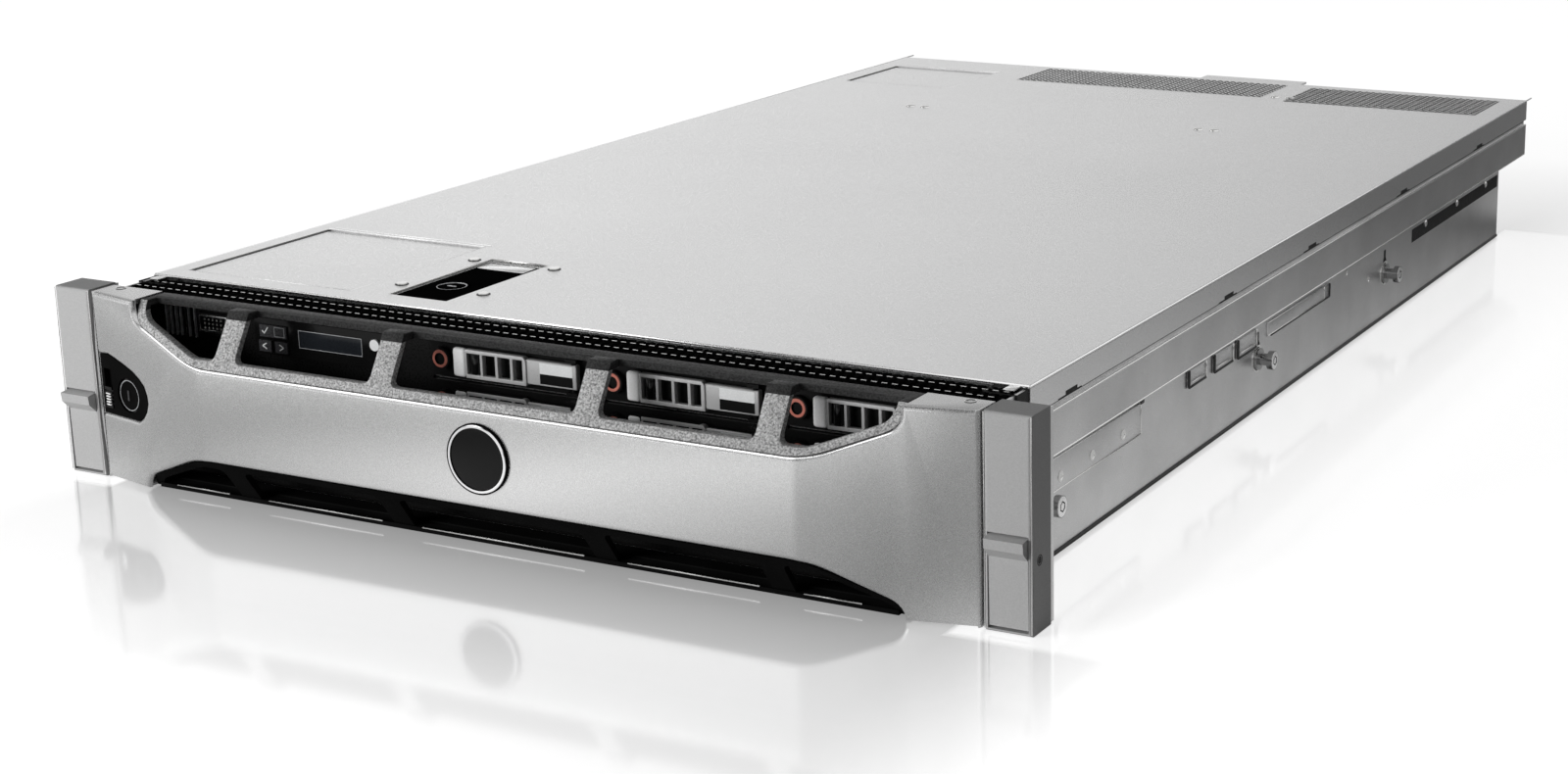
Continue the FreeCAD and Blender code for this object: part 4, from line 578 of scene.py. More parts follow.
def flake_paint(name, colour, metal, roughness, specular=0.5):
    """Metallic paint: small flakes of differing brightness under a satin skin."""
    flake_scale, contrast, gloss_span, skin_scale = 2600.0, 0.06, 0.02, 1500.0
    net = new_finish(name)
    cells = net.add("TexVoronoi", Scale=flake_scale)
    net.link(net.place["Object"], cells.inputs["Vector"])
    flakes = net.add("SeparateColor")
    net.link(cells.outputs["Color"], flakes.inputs["Color"])
    gloss = net.span(flakes.outputs["Green"], roughness - gloss_span, roughness + gloss_span, 0, 1)
    net.lay(flakes.outputs["Red"], colour, contrast, gloss, metal, specular)
    net.emboss(net.noise(skin_scale, 2.0), 0.03, 0.00002)


def grained(name, colour, roughness, contrast, bump, depth, specular=0.5):
    """Grained plastic or paint: speckled tone and a bump of the same speckle."""
    grain_scale, gloss_span = 1150.0, 0.08
    net = new_finish(name)
    speckle = net.span(net.noise(grain_scale, 2.0, 0.7), 0, 1, 0.35, 0.65)
    gloss = net.span(speckle, roughness + gloss_span, roughness - gloss_span, 0, 1)
    net.lay(speckle, colour, contrast, gloss, 0.0, specular)
    net.emboss(speckle, bump, depth)


# Settings

def tint(name, text, grey, green=None, blue=None):
    """A colour setting, grey unless all three of its parts are given."""
    colour = (grey, grey, grey) if green is None else (grey, green, blue)
    return bpy.props.FloatVectorProperty(name=name, description=text, subtype="COLOR", size=3,
                                         min=0, max=1, default=colour)


def length(name, text, millimetres):
    return bpy.props.FloatProperty(name=name, description=text, subtype="DISTANCE", unit="LENGTH",
                                   min=0, default=millimetres / 1000, precision=5)


def power(name, text, watts):
    return bpy.props.FloatProperty(name=name, description=text, subtype="POWER", min=0,
                                   default=watts)


class RackServerColours(bpy.types.PropertyGroup):
    """Colours of the finishes."""

    steel: tint("Galvanised Steel", "Colour of the chassis sheet", 0.66)
    cover: tint("Cover Steel", "Colour of the cover sheet", 0.80)
    zinc: tint("Bright Zinc", "Colour of studs, pins and rivets", 0.80, 0.80, 0.79)
    silver: tint("Silver Paint", "Colour of the bezel", 0.62)
    ear: tint("Ear Paint", "Colour of the rack ears", 0.48)
    frame_grey: tint("Frame Grey", "Colour of the grained window frame", 0.40)
    black: tint("Black Plastic", "Colour of moulded black pieces", 0.006)
    handle: tint("Handle Grey", "Colour of the drive handles", 0.50)
    terracotta: tint("Terracotta", "Colour of the release rings", 0.50, 0.17, 0.13)
    board: tint("Circuit Board", "Colour of the circuit boards", 0.03, 0.12, 0.06)
    floor: tint("Floor", "Colour of the floor", 0.86)


class RackServerDetails(bpy.types.PropertyGroup):
    """Sizes of the small pieces."""

    shell_edge: length("Shell Edge", "Rounding of the bezel shell's front edges", 2.2)
    frame_edge: length("Frame Edge", "Rounding of the window frame's edges", 0.5)
    strip_pitch: length("Strip Pitch", "Distance between holes in the front vent strip", 4.6)
    strip_hole: length("Strip Hole", "Radius of the holes in the front vent strip", 1.45)
    vent_pitch: length("Vent Pitch", "Distance between holes in the cover vents", 4.4)
    vent_hole: length("Vent Hole", "Radius of the holes in the cover vents", 1.35)
    dimple: length("Dimple", "Radius of the stamped dimples in the cover", 3.0)
    emboss: length("Emboss", "Height of the stamped plates on the chassis sides", 0.8)


class RackServerStage(bpy.types.PropertyGroup):
    """Camera, floor and light."""

    lens: bpy.props.FloatProperty(
        name="Lens", description="Focal length of the camera on a 36 mm sensor", default=58.455,
        min=10, max=300)
    eye: bpy.props.FloatVectorProperty(
        name="Eye", description="Place of the camera", subtype="TRANSLATION", unit="LENGTH",
        size=3, default=(0.6289, -1.17795, 0.3533))
    key: power("Key Light", "Power of the light at the front left", 34.0)
    fill: power("Fill Light", "Power of the light at the front right", 1.0)
    edge: power("Edge Light", "Power of the overhead light that edges reflect", 1.6)
    ambient: bpy.props.FloatProperty(
        name="Ambient", description="Strength of the background's light on matt faces",
        default=0.06, min=0, max=1)
    mirror: length("Mirror Reach", "Distance over which the floor's mirror image fades", 260)


def colours():
    return bpy.context.scene.rack_server_colours


def details():
    return bpy.context.scene.rack_server_details


class RACKSERVER_OT_finishes(bpy.types.Operator):
    """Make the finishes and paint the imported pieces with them"""

    bl_idname = "rack_server.finishes"
    bl_label = "Finishes"

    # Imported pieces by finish.
    painted = {
        "cover_steel": "top_cover",
        "galvanised": "chassis_tray rear_panel ear_brackets drive_cage fan_bracket slot_covers",
        "zinc": "latch_pan ear_pins latch_pin cover_rivets rear_connectors",
        "silver_paint": "bezel_shell",
        "ear_paint": "left_ear right_ear left_latch_lever right_latch_lever",
        "frame_grain": "bezel_frame",
        "black_mould": "fan_frames fan_rotor_1 fan_rotor_2 fan_rotor_3 front_connectors "
                       "drive_upper_1 drive_upper_2 drive_upper_3 "
                       "drive_lower_1 drive_lower_2 drive_lower_3",
        "black_gloss": "lcd_housing lock_cylinder release_slider cover_lock",
        "black_coat": "front_panel front_vent_strip",
        "latch_black": "cover_latch bezel_grille lock_plate",
        "chrome": "badge_ring",
        "shaded_stud_steel": "rail_studs",
        "badge": "badge_disc",
        "screen": "lcd_screen",
        "button_dark": "select_button left_button right_button",
        "button_white": "id_button",
        "button_green": "power_button",
        "handle_grey": "drive_handle_1 drive_handle_2 drive_handle_3",
        "terracotta": "drive_release_1 drive_release_2 drive_release_3",
        "circuit_board": "drive_backplane system_board memory_modules riser_cards",
        "fins": "heat_sinks",
        "supply": "psu_1 psu_2",
    }

    def make(self):
        """Each surface row gives name, colour, metal, roughness, drift, cloud, grain and bump."""
        tone = colours()
        rolled = {"depth": 0.00003, "gloss_span": 0.07}
        bright = {"depth": 0.00003, "gloss_span": 0.06}
        polished = {"depth": 0.00002, "gloss_span": 0.04}
        dull = {"depth": 0.00004, "specular": 0.12}
        surface("galvanised", tone.steel, 1.0, 0.32, 0.10, 22.0, 1400.0, 0.06, **rolled)
        surface("cover_steel", tone.cover, 1.0, 0.31, 0.025, 6.0, 1400.0, 0.06, **rolled)
        surface("zinc", tone.zinc, 1.0, 0.24, 0.05, 60.0, 1800.0, 0.04, **bright)
        flake_paint("silver_paint", tone.silver, 0.8, 0.27)
        flake_paint("ear_paint", tone.ear, 0.05, 0.5, 0.12)
        grained("frame_grain", tone.frame_grey, 0.55, 0.62, 0.35, 0.00012)
        # The frame's grain darkened as painted shade, for its top rail, its upright front faces and
        # the post caps.
        grained("shaded_frame_grain", scaled(tone.frame_grey, 0.07), 0.5, 0.5, 0.3, 0.0001, 0.12)
        black = tone.black
        surface("black_mould", black, 0.0, 0.38, 0.2, 40.0, 1600.0, 0.10, **dull)
        surface("black_gloss", scaled(black, 0.8), 0.0, 0.12, 0.2, 40.0, 900.0, 0.02,
                specular=0.3, **polished)
        surface("black_coat", scaled(black, 1.1), 0.0, 0.30, 0.2, 40.0, 1200.0, 0.08, **dull)
        surface("latch_black", black, 0.0, 0.4, 0.2, 40.0, 1600.0, 0.10, 0.00004, specular=0.0)
        surface("step_shade", (0.05, 0.05, 0.05), 0.6, 0.5, 0.1, 40.0, 1200.0, 0.04)
        # Near black: painted shade in gaps, holes, slots, notches and under the cover vents, and
        # the black of the fan wells.
        surface("deep_black", (0.004, 0.004, 0.004), 0.0, 0.8, 0.2, 40.0, 500.0, 0.0)
        # A bright plate finish, also used as painted highlights along bends and recess edges and on
        # stud faces.
        surface("bright_plate", (0.97, 0.97, 0.97), 1.0, 0.26, 0.02, 40.0, 1600.0, 0.04)
        # The studs' steel darkened as painted shade on their sides, against the bright faces.
        surface("shaded_stud_steel", (0.34, 0.34, 0.34), 1.0, 0.16, 0.05, 60.0, 1800.0, 0.04)
        surface("chrome", (0.78, 0.78, 0.79), 1.0, 0.12, 0.03, 30.0, 900.0, 0.02, **polished)
        surface("badge", (0.006, 0.006, 0.006), 0.0, 0.2, 0.1, 20.0, 900.0, 0.02,
                specular=0.12, **polished)
        surface("screen", (0.012, 0.014, 0.017), 0.0, 0.08, 0.1, 50.0, 900.0, 0.0)
        surface("button_dark", (0.03, 0.03, 0.032), 0.0, 0.3, 0.1, 60.0, 1400.0, 0.06)
        surface("button_white", (0.75, 0.76, 0.76), 0.0, 0.25, 0.04, 60.0, 1400.0, 0.04)
        surface("button_green", (0.10, 0.30, 0.14), 0.0, 0.25, 0.08, 60.0, 1400.0, 0.04)
        surface("handle_grey", tone.handle, 0.25, 0.34, 0.05, 40.0, 1600.0, 0.06)
        surface("handle_light", (0.86, 0.86, 0.86), 0.0, 0.28, 0.04, 40.0, 1600.0, 0.04)
        surface("trim_grey", (0.40, 0.41, 0.42), 0.3, 0.3, 0.05, 40.0, 1600.0, 0.04)
        surface("lamp_lens", (0.05, 0.12, 0.06), 0.0, 0.15, 0.1, 40.0, 1600.0, 0.0)
        surface("terracotta", tone.terracotta, 0.0, 0.35, 0.1, 80.0, 1400.0, 0.06)
        surface("circuit_board", tone.board, 0.0, 0.35, 0.35, 160.0, 700.0, 0.15, 0.0001)
        surface("fins", (0.70, 0.71, 0.72), 1.0, 0.3, 0.04, 20.0, 1200.0, 0.05)
        surface("supply", (0.50, 0.51, 0.52), 1.0, 0.4, 0.05, 12.0, 1200.0, 0.06)

    def execute(self, context):
        self.make()
        left = set(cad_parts)
        for finish, nodes in self.painted.items():
            for node in nodes.split():
                paint(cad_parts[node], finish)
                left.discard(node)
        if left:
            raise RuntimeError("no finish for " + ", ".join(sorted(left)))
        return {"FINISHED"}


class RACKSERVER_OT_bezel(bpy.types.Operator):
    """Round the bezel's shell and window frame, darken the frame's rail and upright front faces as
    painted shade, and add its caps in painted shade, its lip with painted highlights, badge, screws
    and ribs
    """

    bl_idname = "rack_server.bezel"
    bl_label = "Bezel"

    def shell_and_frame(self):
        size = details()
        shell = node_copy("bezel_shell", "shell")
        round_edges(shell, size.shell_edge, 4,
                    lambda one, two: min(one.y, two.y) < -0.9 and one.dot(two) < 0.7)
        dress(paint(shell, "silver_paint"), "bezel", "silver_paint", "bezel_shell")
        rail_low = 0.0825
        windows = paint(node_copy("bezel_frame", "window_frame"), "frame_grain", "shaded_frame_grain")
        # Painted shade: the top rail and the faces that look straight ahead take the darkened
        # grain.
        recolour(windows, 1, lambda centre, normal: (centre.z > rail_low and normal.y > -0.8
                                                     or normal.y < -0.95))
        dress(soften(windows, size.frame_edge, 2, 40), "bezel", "textured_grey", "bezel_frame")

    def caps_and_lip(self):
        cap = block("cap", spot(-5.6, -2.6, 82.4), spot(5.6, 5.6, 85.8))
        soften(trim(cap, spot(0, -0.2, 85.6), (0, -0.857, 0.513)), 0.0003)
        caps = [moved_copy(cap, (x / 1000, 0, 0), "cap_twin") for x in POSTS]
        remove(cap)
        # The post caps take the darkened grain as painted shade.
        group(caps, "post_caps", "shaded_frame_grain", "bezel", "textured_grey")
        lip = block("lower_lip", spot(-186, -2.5, 0.95), spot(186, 6, 3.2))
        step_faces(lip, facing("Z"), (0.0008, (0, 0, -0.0005)))
        dress(paint(soften(lip, 0.0003), "latch_black"), "bezel", "black_plastic")
        # Painted highlights: thin bright zinc streaks along the lip's top front edge.
        streaks = [line((start, -2.45, 3.1), (end, -2.45, 3.1), 0.0004) for start, end in
                   ((-176, -146), (-124, -62), (-41, 41), (62, 124), (144, 170))]
        group(streaks, "lower_lip_edge", "zinc", "bezel", "black_plastic")

    def badge(self):
        ring = stepped_disc("badge_trim", 0.0150, 0.0014, (
            (0.0006, 0), (0.0002, -0.0002), (0.0009, 0), (0.0002, 0.0006)), 64)
        recolour(paint(ring, "latch_black", "chrome"), 1, within_ring(0.0133, 0.0144, 0))
        dress(put(ring, spot(0, -15.7, BADGE_UP)), "bezel", "badge_ring", "badge_ring")
        face = paint(stepped_disc("badge_plate", 0.0132, 0.0008, ((0.0004, -0.0001),), 64), "badge")
        dress(put(face, spot(0, -15.4, BADGE_UP)), "bezel", "badge_face", "badge_disc")

    def screws_and_ribs(self):
        screws = []
        for x in (-212, 211):
            screw = stepped_disc("screw", 0.0023, 0.0006, (
                (0.0004, 0), (0.0002, 0.0002), (0.0006, 0), (0.0002, 0.0001)), 24)
            recolour(paint(screw, "black_coat", "zinc"), 1, within_ring(0.0018, 0.0022, 0.00005))
            screws.append(put(screw, spot(x, 10.5, 86.1), FACE_UP))
        dress(join(screws, "bezel_screws"), "bezel", "bright_zinc")
        ribs = []
        for step in range(5):
            rib = soft_block("rib", (-0.0016, -0.0004, -0.0003), (0.0016, 0.0004, 0.0003),
                             0.0001, 1)
            ribs.append(put(rib, spot(-213.2, -1.2, 35.2 + step * 1.25), FACE_SLOPE))
        group(ribs, "slider_ribs", "handle_light", "release_slider_body", "black_plastic")

    def execute(self, context):
        self.shell_and_frame()
        self.caps_and_lip()
        self.badge()
        self.screws_and_ribs()
        return {"FINISHED"}


class RACKSERVER_OT_vents(bpy.types.Operator):
    """Perforate the front strip and the rear of the cover, with painted glints on the strip and
    near-black painted shade under the cover vents, and finish the strip's corners with gaps of
    painted shade
    """

    bl_idname = "rack_server.vents"
    bl_label = "Vents"

    def front(self, size):
        low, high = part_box("front_vent_strip")
        strip = perforated("front_strip", (low.x, low.y, high.z), high, size.strip_pitch,
                           size.strip_hole, 0.001, 0.0003)
        dress(paint(strip, "latch_black"), "chassis", "black_steel", "front_vent_strip")
        # Painted glints: rows of small bright zinc dashes at the rear edges of the strip's holes.
        row_gap, row_length, rows = 0.0085, 94, 2
        edges = block("strip_edges", (low.x + 0.002, low.y + row_gap, high.z + 0.0001),
                      (low.x + 0.0045, low.y + row_gap + 0.0006, high.z + 0.0004))
        repeat(edges, row_length, (size.strip_pitch, 0, 0))
        repeat(edges, rows, (size.strip_pitch / 2, row_gap, 0))
        dress(paint(apply_modifiers(edges), "zinc"), "chassis", "black_steel")
        # The corner gaps are blocks painted near black as painted shade.
        gap = block("corner_gap_right", spot(206, 30, 78), spot(220.9, 39.8, 84.2))
        paint(step_faces(gap, facing("Z"), (0.0008, (0, 0, -0.0006))), "deep_black")
        tab = soft_block("corner_tab_right", spot(213, 33.5, 84.1), spot(217.6, 39.8, 84.9), 0.0002)
        both_sides(gap, "chassis", "black_steel")
        both_sides(paint(tab, "bright_plate"), "chassis", "galvanised_steel")

    def execute(self, context):
        size = details()
        self.front(size)
        for name, x, y in COVER_VENTS:
            # A near-black sheet of painted shade under each vent's holes.
            rise = TOP + SHADE_SHEET_RISE
            shade_sheet = sheet(name + "_under_shade", spot(x[0], y[0], rise), spot(x[1], y[1], rise))
            step_faces(shade_sheet, everywhere, (0.001, (0, 0, 0)))
            dress(paint(shade_sheet, "deep_black"), "cover", "galvanised_steel")
            rise = TOP + VENT_RISE
            holes = perforated(name, spot(x[0], y[0], rise), spot(x[1], y[1], rise),
                               size.vent_pitch, size.vent_hole, 0.0002)
            dress(paint(holes, "galvanised"), "cover", "galvanised_steel")
        return {"FINISHED"}


class RACKSERVER_OT_cover(bpy.types.Operator):
    """Add the cover's dimples, hooks and latch trim, with painted shade at its recesses, hooks and
    rivets, and painted highlights along its recess edges, bends and latch edges
    """

    bl_idname = "rack_server.cover"
    bl_label = "Cover Trim"

    def recess(self, name, x, y):
        """Painted shade along the left step of a stamped recess, and painted highlights along its
        other edges.
        """
        floor, tilt = TOP - 0.55, -0.09
        # Painted shade: a dark strip on the recess floor by the left step.
        shade = soft_block(name + "_shade", spot(x[0], y[0], floor - 0.1),
                           spot(x[0] + 1.3, y[1], floor + 0.1), 0.00005, 1)
        dress(paint(shade, "step_shade"), "cover", "galvanised_steel")
        # Painted highlights: two tilted bright strips at the rear edge and thin bright lines on the
        # right and front edges.
        edges = []
        middle, half = (x[0] + x[1]) / 2, (x[1] - x[0]) / 2000
        for shift, wide in ((0.2, 0.0009), (3.2, 0.0006)):
            edge = soft_block("edge", (-half, -wide, -0.0003), (half, wide, 0.0001), 0.00006, 1)
            at = spot(middle + shift / 2, y[1] + shift, TOP + 0.1)
            edges.append(put(edge, at, (tilt, 0, 0)))
        low = TOP - 0.2
        edges += [line((x[1], y[0], low), (x[1], y[1], low), 0.0003),
                  line((x[0], y[0], low), (x[1], y[0], low), 0.0003)]
        group(edges, name + "_edge", "bright_plate", "cover", "galvanised_steel")

    def latch(self):
        rise = TOP + 0.05
        # Painted highlights: bright zinc lines along the latch opening's left and rear edges.
        edges = [line((-98.2, 54, rise), (-98.2, 127, rise), 0.0004),
                 line((-98, 127.2, rise), (-67, 127.2, rise), 0.0005)]
        group(edges, "latch_edge", "zinc", "cover", "galvanised_steel")
        plate = soft_block("latch_plate", spot(-95.5, 112.5, 84.3), spot(-70, 122.5, 84.8), 0.0002)
        dress(paint(plate, "bright_plate"), "cover_latch_body", "black_plastic")
        ring = stepped_disc("coin_ring", 0.0068, 0.0004, (
            (0.0004, 0), (0.0002, 0.0002), (0.0036, 0), (0.0004, -0.0001)), 32)
        recolour(paint(ring, "latch_black", "trim_grey"), 1, within_ring(0.0062, 0.0068, 0.0001))
        coin = soft_block("coin_slot", (-0.0024, -0.0001, -0.0005), (0.0024, 0.0003, 0.0005),
                          0.0001, 1)
        ring = join([ring, paint(coin, "trim_grey")], "coin_ring")
        dress(put(ring, spot(-82.5, 77.7, 85.2), FACE_UP), "cover_lock_body", "bright_zinc")
        # Painted shadows: dark rings round the cover rivets.
        rivet_shadow_rings = [put(stepped_disc("collar", 0.0031, 0.0003, ((0.0004, 0), (0.0002, 0.0001)), 24),
                       spot(x, y, TOP + 0.15), FACE_UP) for x, y in COVER_RIVETS]
        group(rivet_shadow_rings, "rivet_shadows", "step_shade", "cover", "bright_zinc")

    def dimples(self):
        bumps = []
        for x, y in COVER_DIMPLES:
            clear_selection()
            bpy.ops.mesh.primitive_uv_sphere_add(segments=20, ring_count=10, scale=(1, 1, 0.28),
                                                 radius=details().dimple, location=spot(x, y, TOP))
            bump = settle(bpy.context.object)
            trim(bump, (0, 0, COVER_TOP - 0.0002), (0, 0, 1), keep_front=True)
            bumps.append(smooth(bump, 50))
        group(bumps, "cover_dimples", "zinc", "cover", "galvanised_steel")

    def folds_and_hooks(self):
        flange, front, rear, rise = 221.2, 40.5, 768, 84.9
        # The hooks are painted near black as the shade in their notches.
        hooks = []
        for y in COVER_HOOKS:
            for ahead, behind, low, high in ((11, 11, 73.0, 73.5), (4, 7, 73.4, 75.0)):
                hooks.append(soft_block("hook", spot(221.3, y - ahead, low),
                                        spot(221.6, y + behind, high), 0.0001, 1))
        # Painted highlights: bright rods along the cover's side and front bends.
        folds = [line((x, front, rise), (x, rear, rise), 0.0005) for x in (flange, -flange)]
        folds.append(line((-221, 40.4, 84.7), (221, 40.4, 84.7), 0.0009))
        group(folds, "cover_fold_highlights", "bright_plate", "cover", "galvanised_steel")
        both_sides(paint(join(hooks, "cover_hooks_right"), "deep_black"), "cover",
                   "galvanised_steel")

    def execute(self, context):
        for name, x, y in COVER_RECESSES:
            self.recess(name, x, y)
        self.latch()
        self.dimples()
        self.folds_and_hooks()
        return {"FINISHED"}


class RACKSERVER_OT_sides(bpy.types.Operator):
    """Add the stamped plates, tabs and slot of the chassis sides, with painted shade and painted
    highlights along their bends, round the studs and in their holes and slot
    """

    bl_idname = "rack_server.sides"
    bl_label = "Chassis Sides"

    def stampings(self, rise):
        """Plates and tabs pressed out of the wall, with their holes, the slot and its rivets."""
        plates = [soft_block("plate", spot(WALL - 0.3, y[0], z[0]), spot(WALL + rise, y[1], z[1]),
                             0.0005, 3) for y, z in SIDE_PLATES]
        for y, z in SIDE_TABS:
            tab = block("tab", spot(WALL - 0.3, y[0], z[0]), spot(WALL + rise + 0.3, y[1], z[1]))
            step_faces(tab, facing("X"), (0.0022, (-0.0007, 0, 0)))
            plates.append(soften(tab, 0.0003))
        plates = paint(join(plates, "side_plates_right"), "galvanised")
        holes = []
        for y, z, out, radius, lip, sides in (
                (90, 33, rise, 0.0024, 0.0007, 20), (121, 33, rise, 0.0024, 0.0007, 20),
                (153, 33, rise, 0.0024, 0.0007, 20), (447, 40, 0, 0.0015, 0.0003, 16),
                (484, 28.5, 0, 0.0015, 0.0003, 16)):
            hole = stepped_disc("hole", radius, 0.0004, ((lip, 0), (0.0002, 0.0002)), sides)
            holes.append(put(hole, spot(WALL + out + 0.25, y, z), FACE_RIGHT))
        eyelets = paint(join(holes, "side_eyelets_right"), "zinc")
        out = WALL + 0.12
        # The slot is a near-black sheet of painted shade.
        slot = sheet("side_slot_right", spot(out, 561, 33), spot(out, 737, 40.5), "X")
        step_faces(slot, everywhere, (0.0008, (0, 0, 0)))
        paint(thicken(slot, 0.0001), "deep_black")
        dots = [put(stepped_disc("dot", 0.0021, 0.0008, ((0.0006, -0.0004), (0.0006, 0)), 20),
                    spot(WALL + 0.8, y, 39.6), FACE_RIGHT) for y in (585, 647, 708)]
        return [plates, eyelets, slot, paint(join(dots, "side_rivets_right"), "zinc")]

    def studs(self):
        """Painted shade rings round the rail studs, painted highlights on their faces, and their
        sockets and the keyholes above them in painted shade.
        """
        keyhole_low, keyhole_waist, keyhole_high = 32.5, 35, 39
        sockets, shade_rings, faces = [], [], []
        for y in STUDS:
            # The sockets and the keyholes are near black as painted shade.
            socket = stepped_disc("socket", 0.0024, 0.0003, ((0.0004, 0), (0.0004, 0.0002)), 6)
            sockets.append(put(socket, spot(219.3, y, STUD_UP), FACE_RIGHT))
            # Painted highlights: a bright ring on each stud head's face.
            face = stepped_disc("face", 0.0042, 0.0003, ((0.0004, 0), (0.0003, -0.0001)), 28)
            faces.append(put(face, spot(219.12, y, STUD_UP), FACE_RIGHT))
            key = sheet("keyhole", spot(WALL + 0.1, y - 3, keyhole_low),
                        spot(WALL + 0.1, y + 3, keyhole_high), "X")
            slice_at(key, "Z", [keyhole_waist / 1000])
            pick_faces(key, lambda centre, normal: centre.z > keyhole_waist / 1000)
            bpy.ops.transform.resize(value=(1, 0.5, 1), center_override=spot(WALL, y, 37))
            leave_edit()
            sockets.append(thicken(key, 0.00008))
            # A dark ring of painted shade round each stud's base, inside a zinc rim.
            shade_ring = stepped_disc("shade_ring", 0.0068, 0.0004, ((0.0008, 0), (0.0003, 0.0002)), 28)
            shade_rings.append(put(shade_ring, spot(WALL + 0.35, y, STUD_UP), FACE_RIGHT))
        sockets = paint(join(sockets, "stud_recesses_right"), "deep_black")
        shade_rings = paint(join(shade_rings, "stud_seats_right"), "zinc", "deep_black")
        recolour(shade_rings, 1, lambda centre, normal: normal.x > 0.9 and min(
            (centre - spot(WALL, y, STUD_UP)).length for y in STUDS) < 0.0036)
        return [sockets, shade_rings, paint(join(faces, "stud_faces_right"), "bright_plate")]

    def ear_marks(self):
        """The pin hole, a near-black disc of painted shade, and painted highlights along the front
        edges of an ear.
        """
        hole = stepped_disc("ear_hole_right", 0.0022, 0.0004, ((0.0003, 0), (0.0002, 0.0002)), 24)
        paint(put(hole, spot(241.3, 6.7, 28.9), FACE_RIGHT), "deep_black")
        edges = [line((x, 0.15, 1), (x, 0.15, 86), 0.00025) for x in (221.4, 241.0)]
        return [hole, paint(join(edges, "ear_edges_right"), "zinc")]

    def folds(self, face):
        """The gap under the cover's flange, a near-black strip of painted shade, and painted
        highlight and painted shade lines along the bends, plates and tabs.
        """
        gap = soft_block("flange_gap_right", spot(219.9, 40.2, 71.7), spot(220.12, 756.8, 72.98),
                         0.00005, 1)
        # Painted highlights along the band's bends and the edges of plates and tabs.
        bright = [line((221.35, 40, z), (221.35, 756.8, z), 0.0004) for z in (51.2, 69.8)]
        # Painted shade: a contact line under the wall, lines at the plates' and tabs' lower and
        # rear edges, and a notch.
        dark = [line((WALL, 20, 1.2), (WALL, 739.5, 1.2), 0.0011),
                line((face, 418, 34), (face, 418, 41), 0.0006),
                line((face, 332, 34), (face, 418, 34), 0.0005),
                soft_block("notch", spot(face - 0.3, 171.5, 41.5), spot(face + 0.4, 175, 44),
                           0.0001, 1)]
        for y, z in PLATE_FOLDS:
            bright += [line((face, y[0], z[1]), (face, y[1], z[1]), 0.0003),
                       line((face, y[0], z[0]), (face, y[1], z[0]), 0.0003),
                       line((face, y[1], z[0]), (face, y[1], z[1]), 0.0003)]
        out = face + 0.3
        for y, z in SIDE_TABS:
            dark += [line((face, y[0], z[0]), (face, y[0], z[1]), 0.0007),
                     line((face, y[0], z[0]), (face, y[1], z[0]), 0.0007)]
            bright += [line((out, y[1], z[0]), (out, y[1], z[1]), 0.0004),
                       line((out, y[0] + 3, z[0] + 2), (out, y[1] - 2, z[0] + 2), 0.0003)]
        return [paint(gap, "deep_black"), paint(join(bright, "side_folds_right"), "zinc"),
                paint(join(dark, "side_shades_right"), "step_shade")]

    def execute(self, context):
        rise = details().emboss * 1000
        pieces = self.stampings(rise) + self.studs()
        marks = self.ear_marks()
        for piece in pieces + self.folds(WALL + rise):
            both_sides(piece, "chassis", "galvanised_steel")
        for piece in marks:
            both_sides(piece, "chassis", "silver_paint")
        return {"FINISHED"}


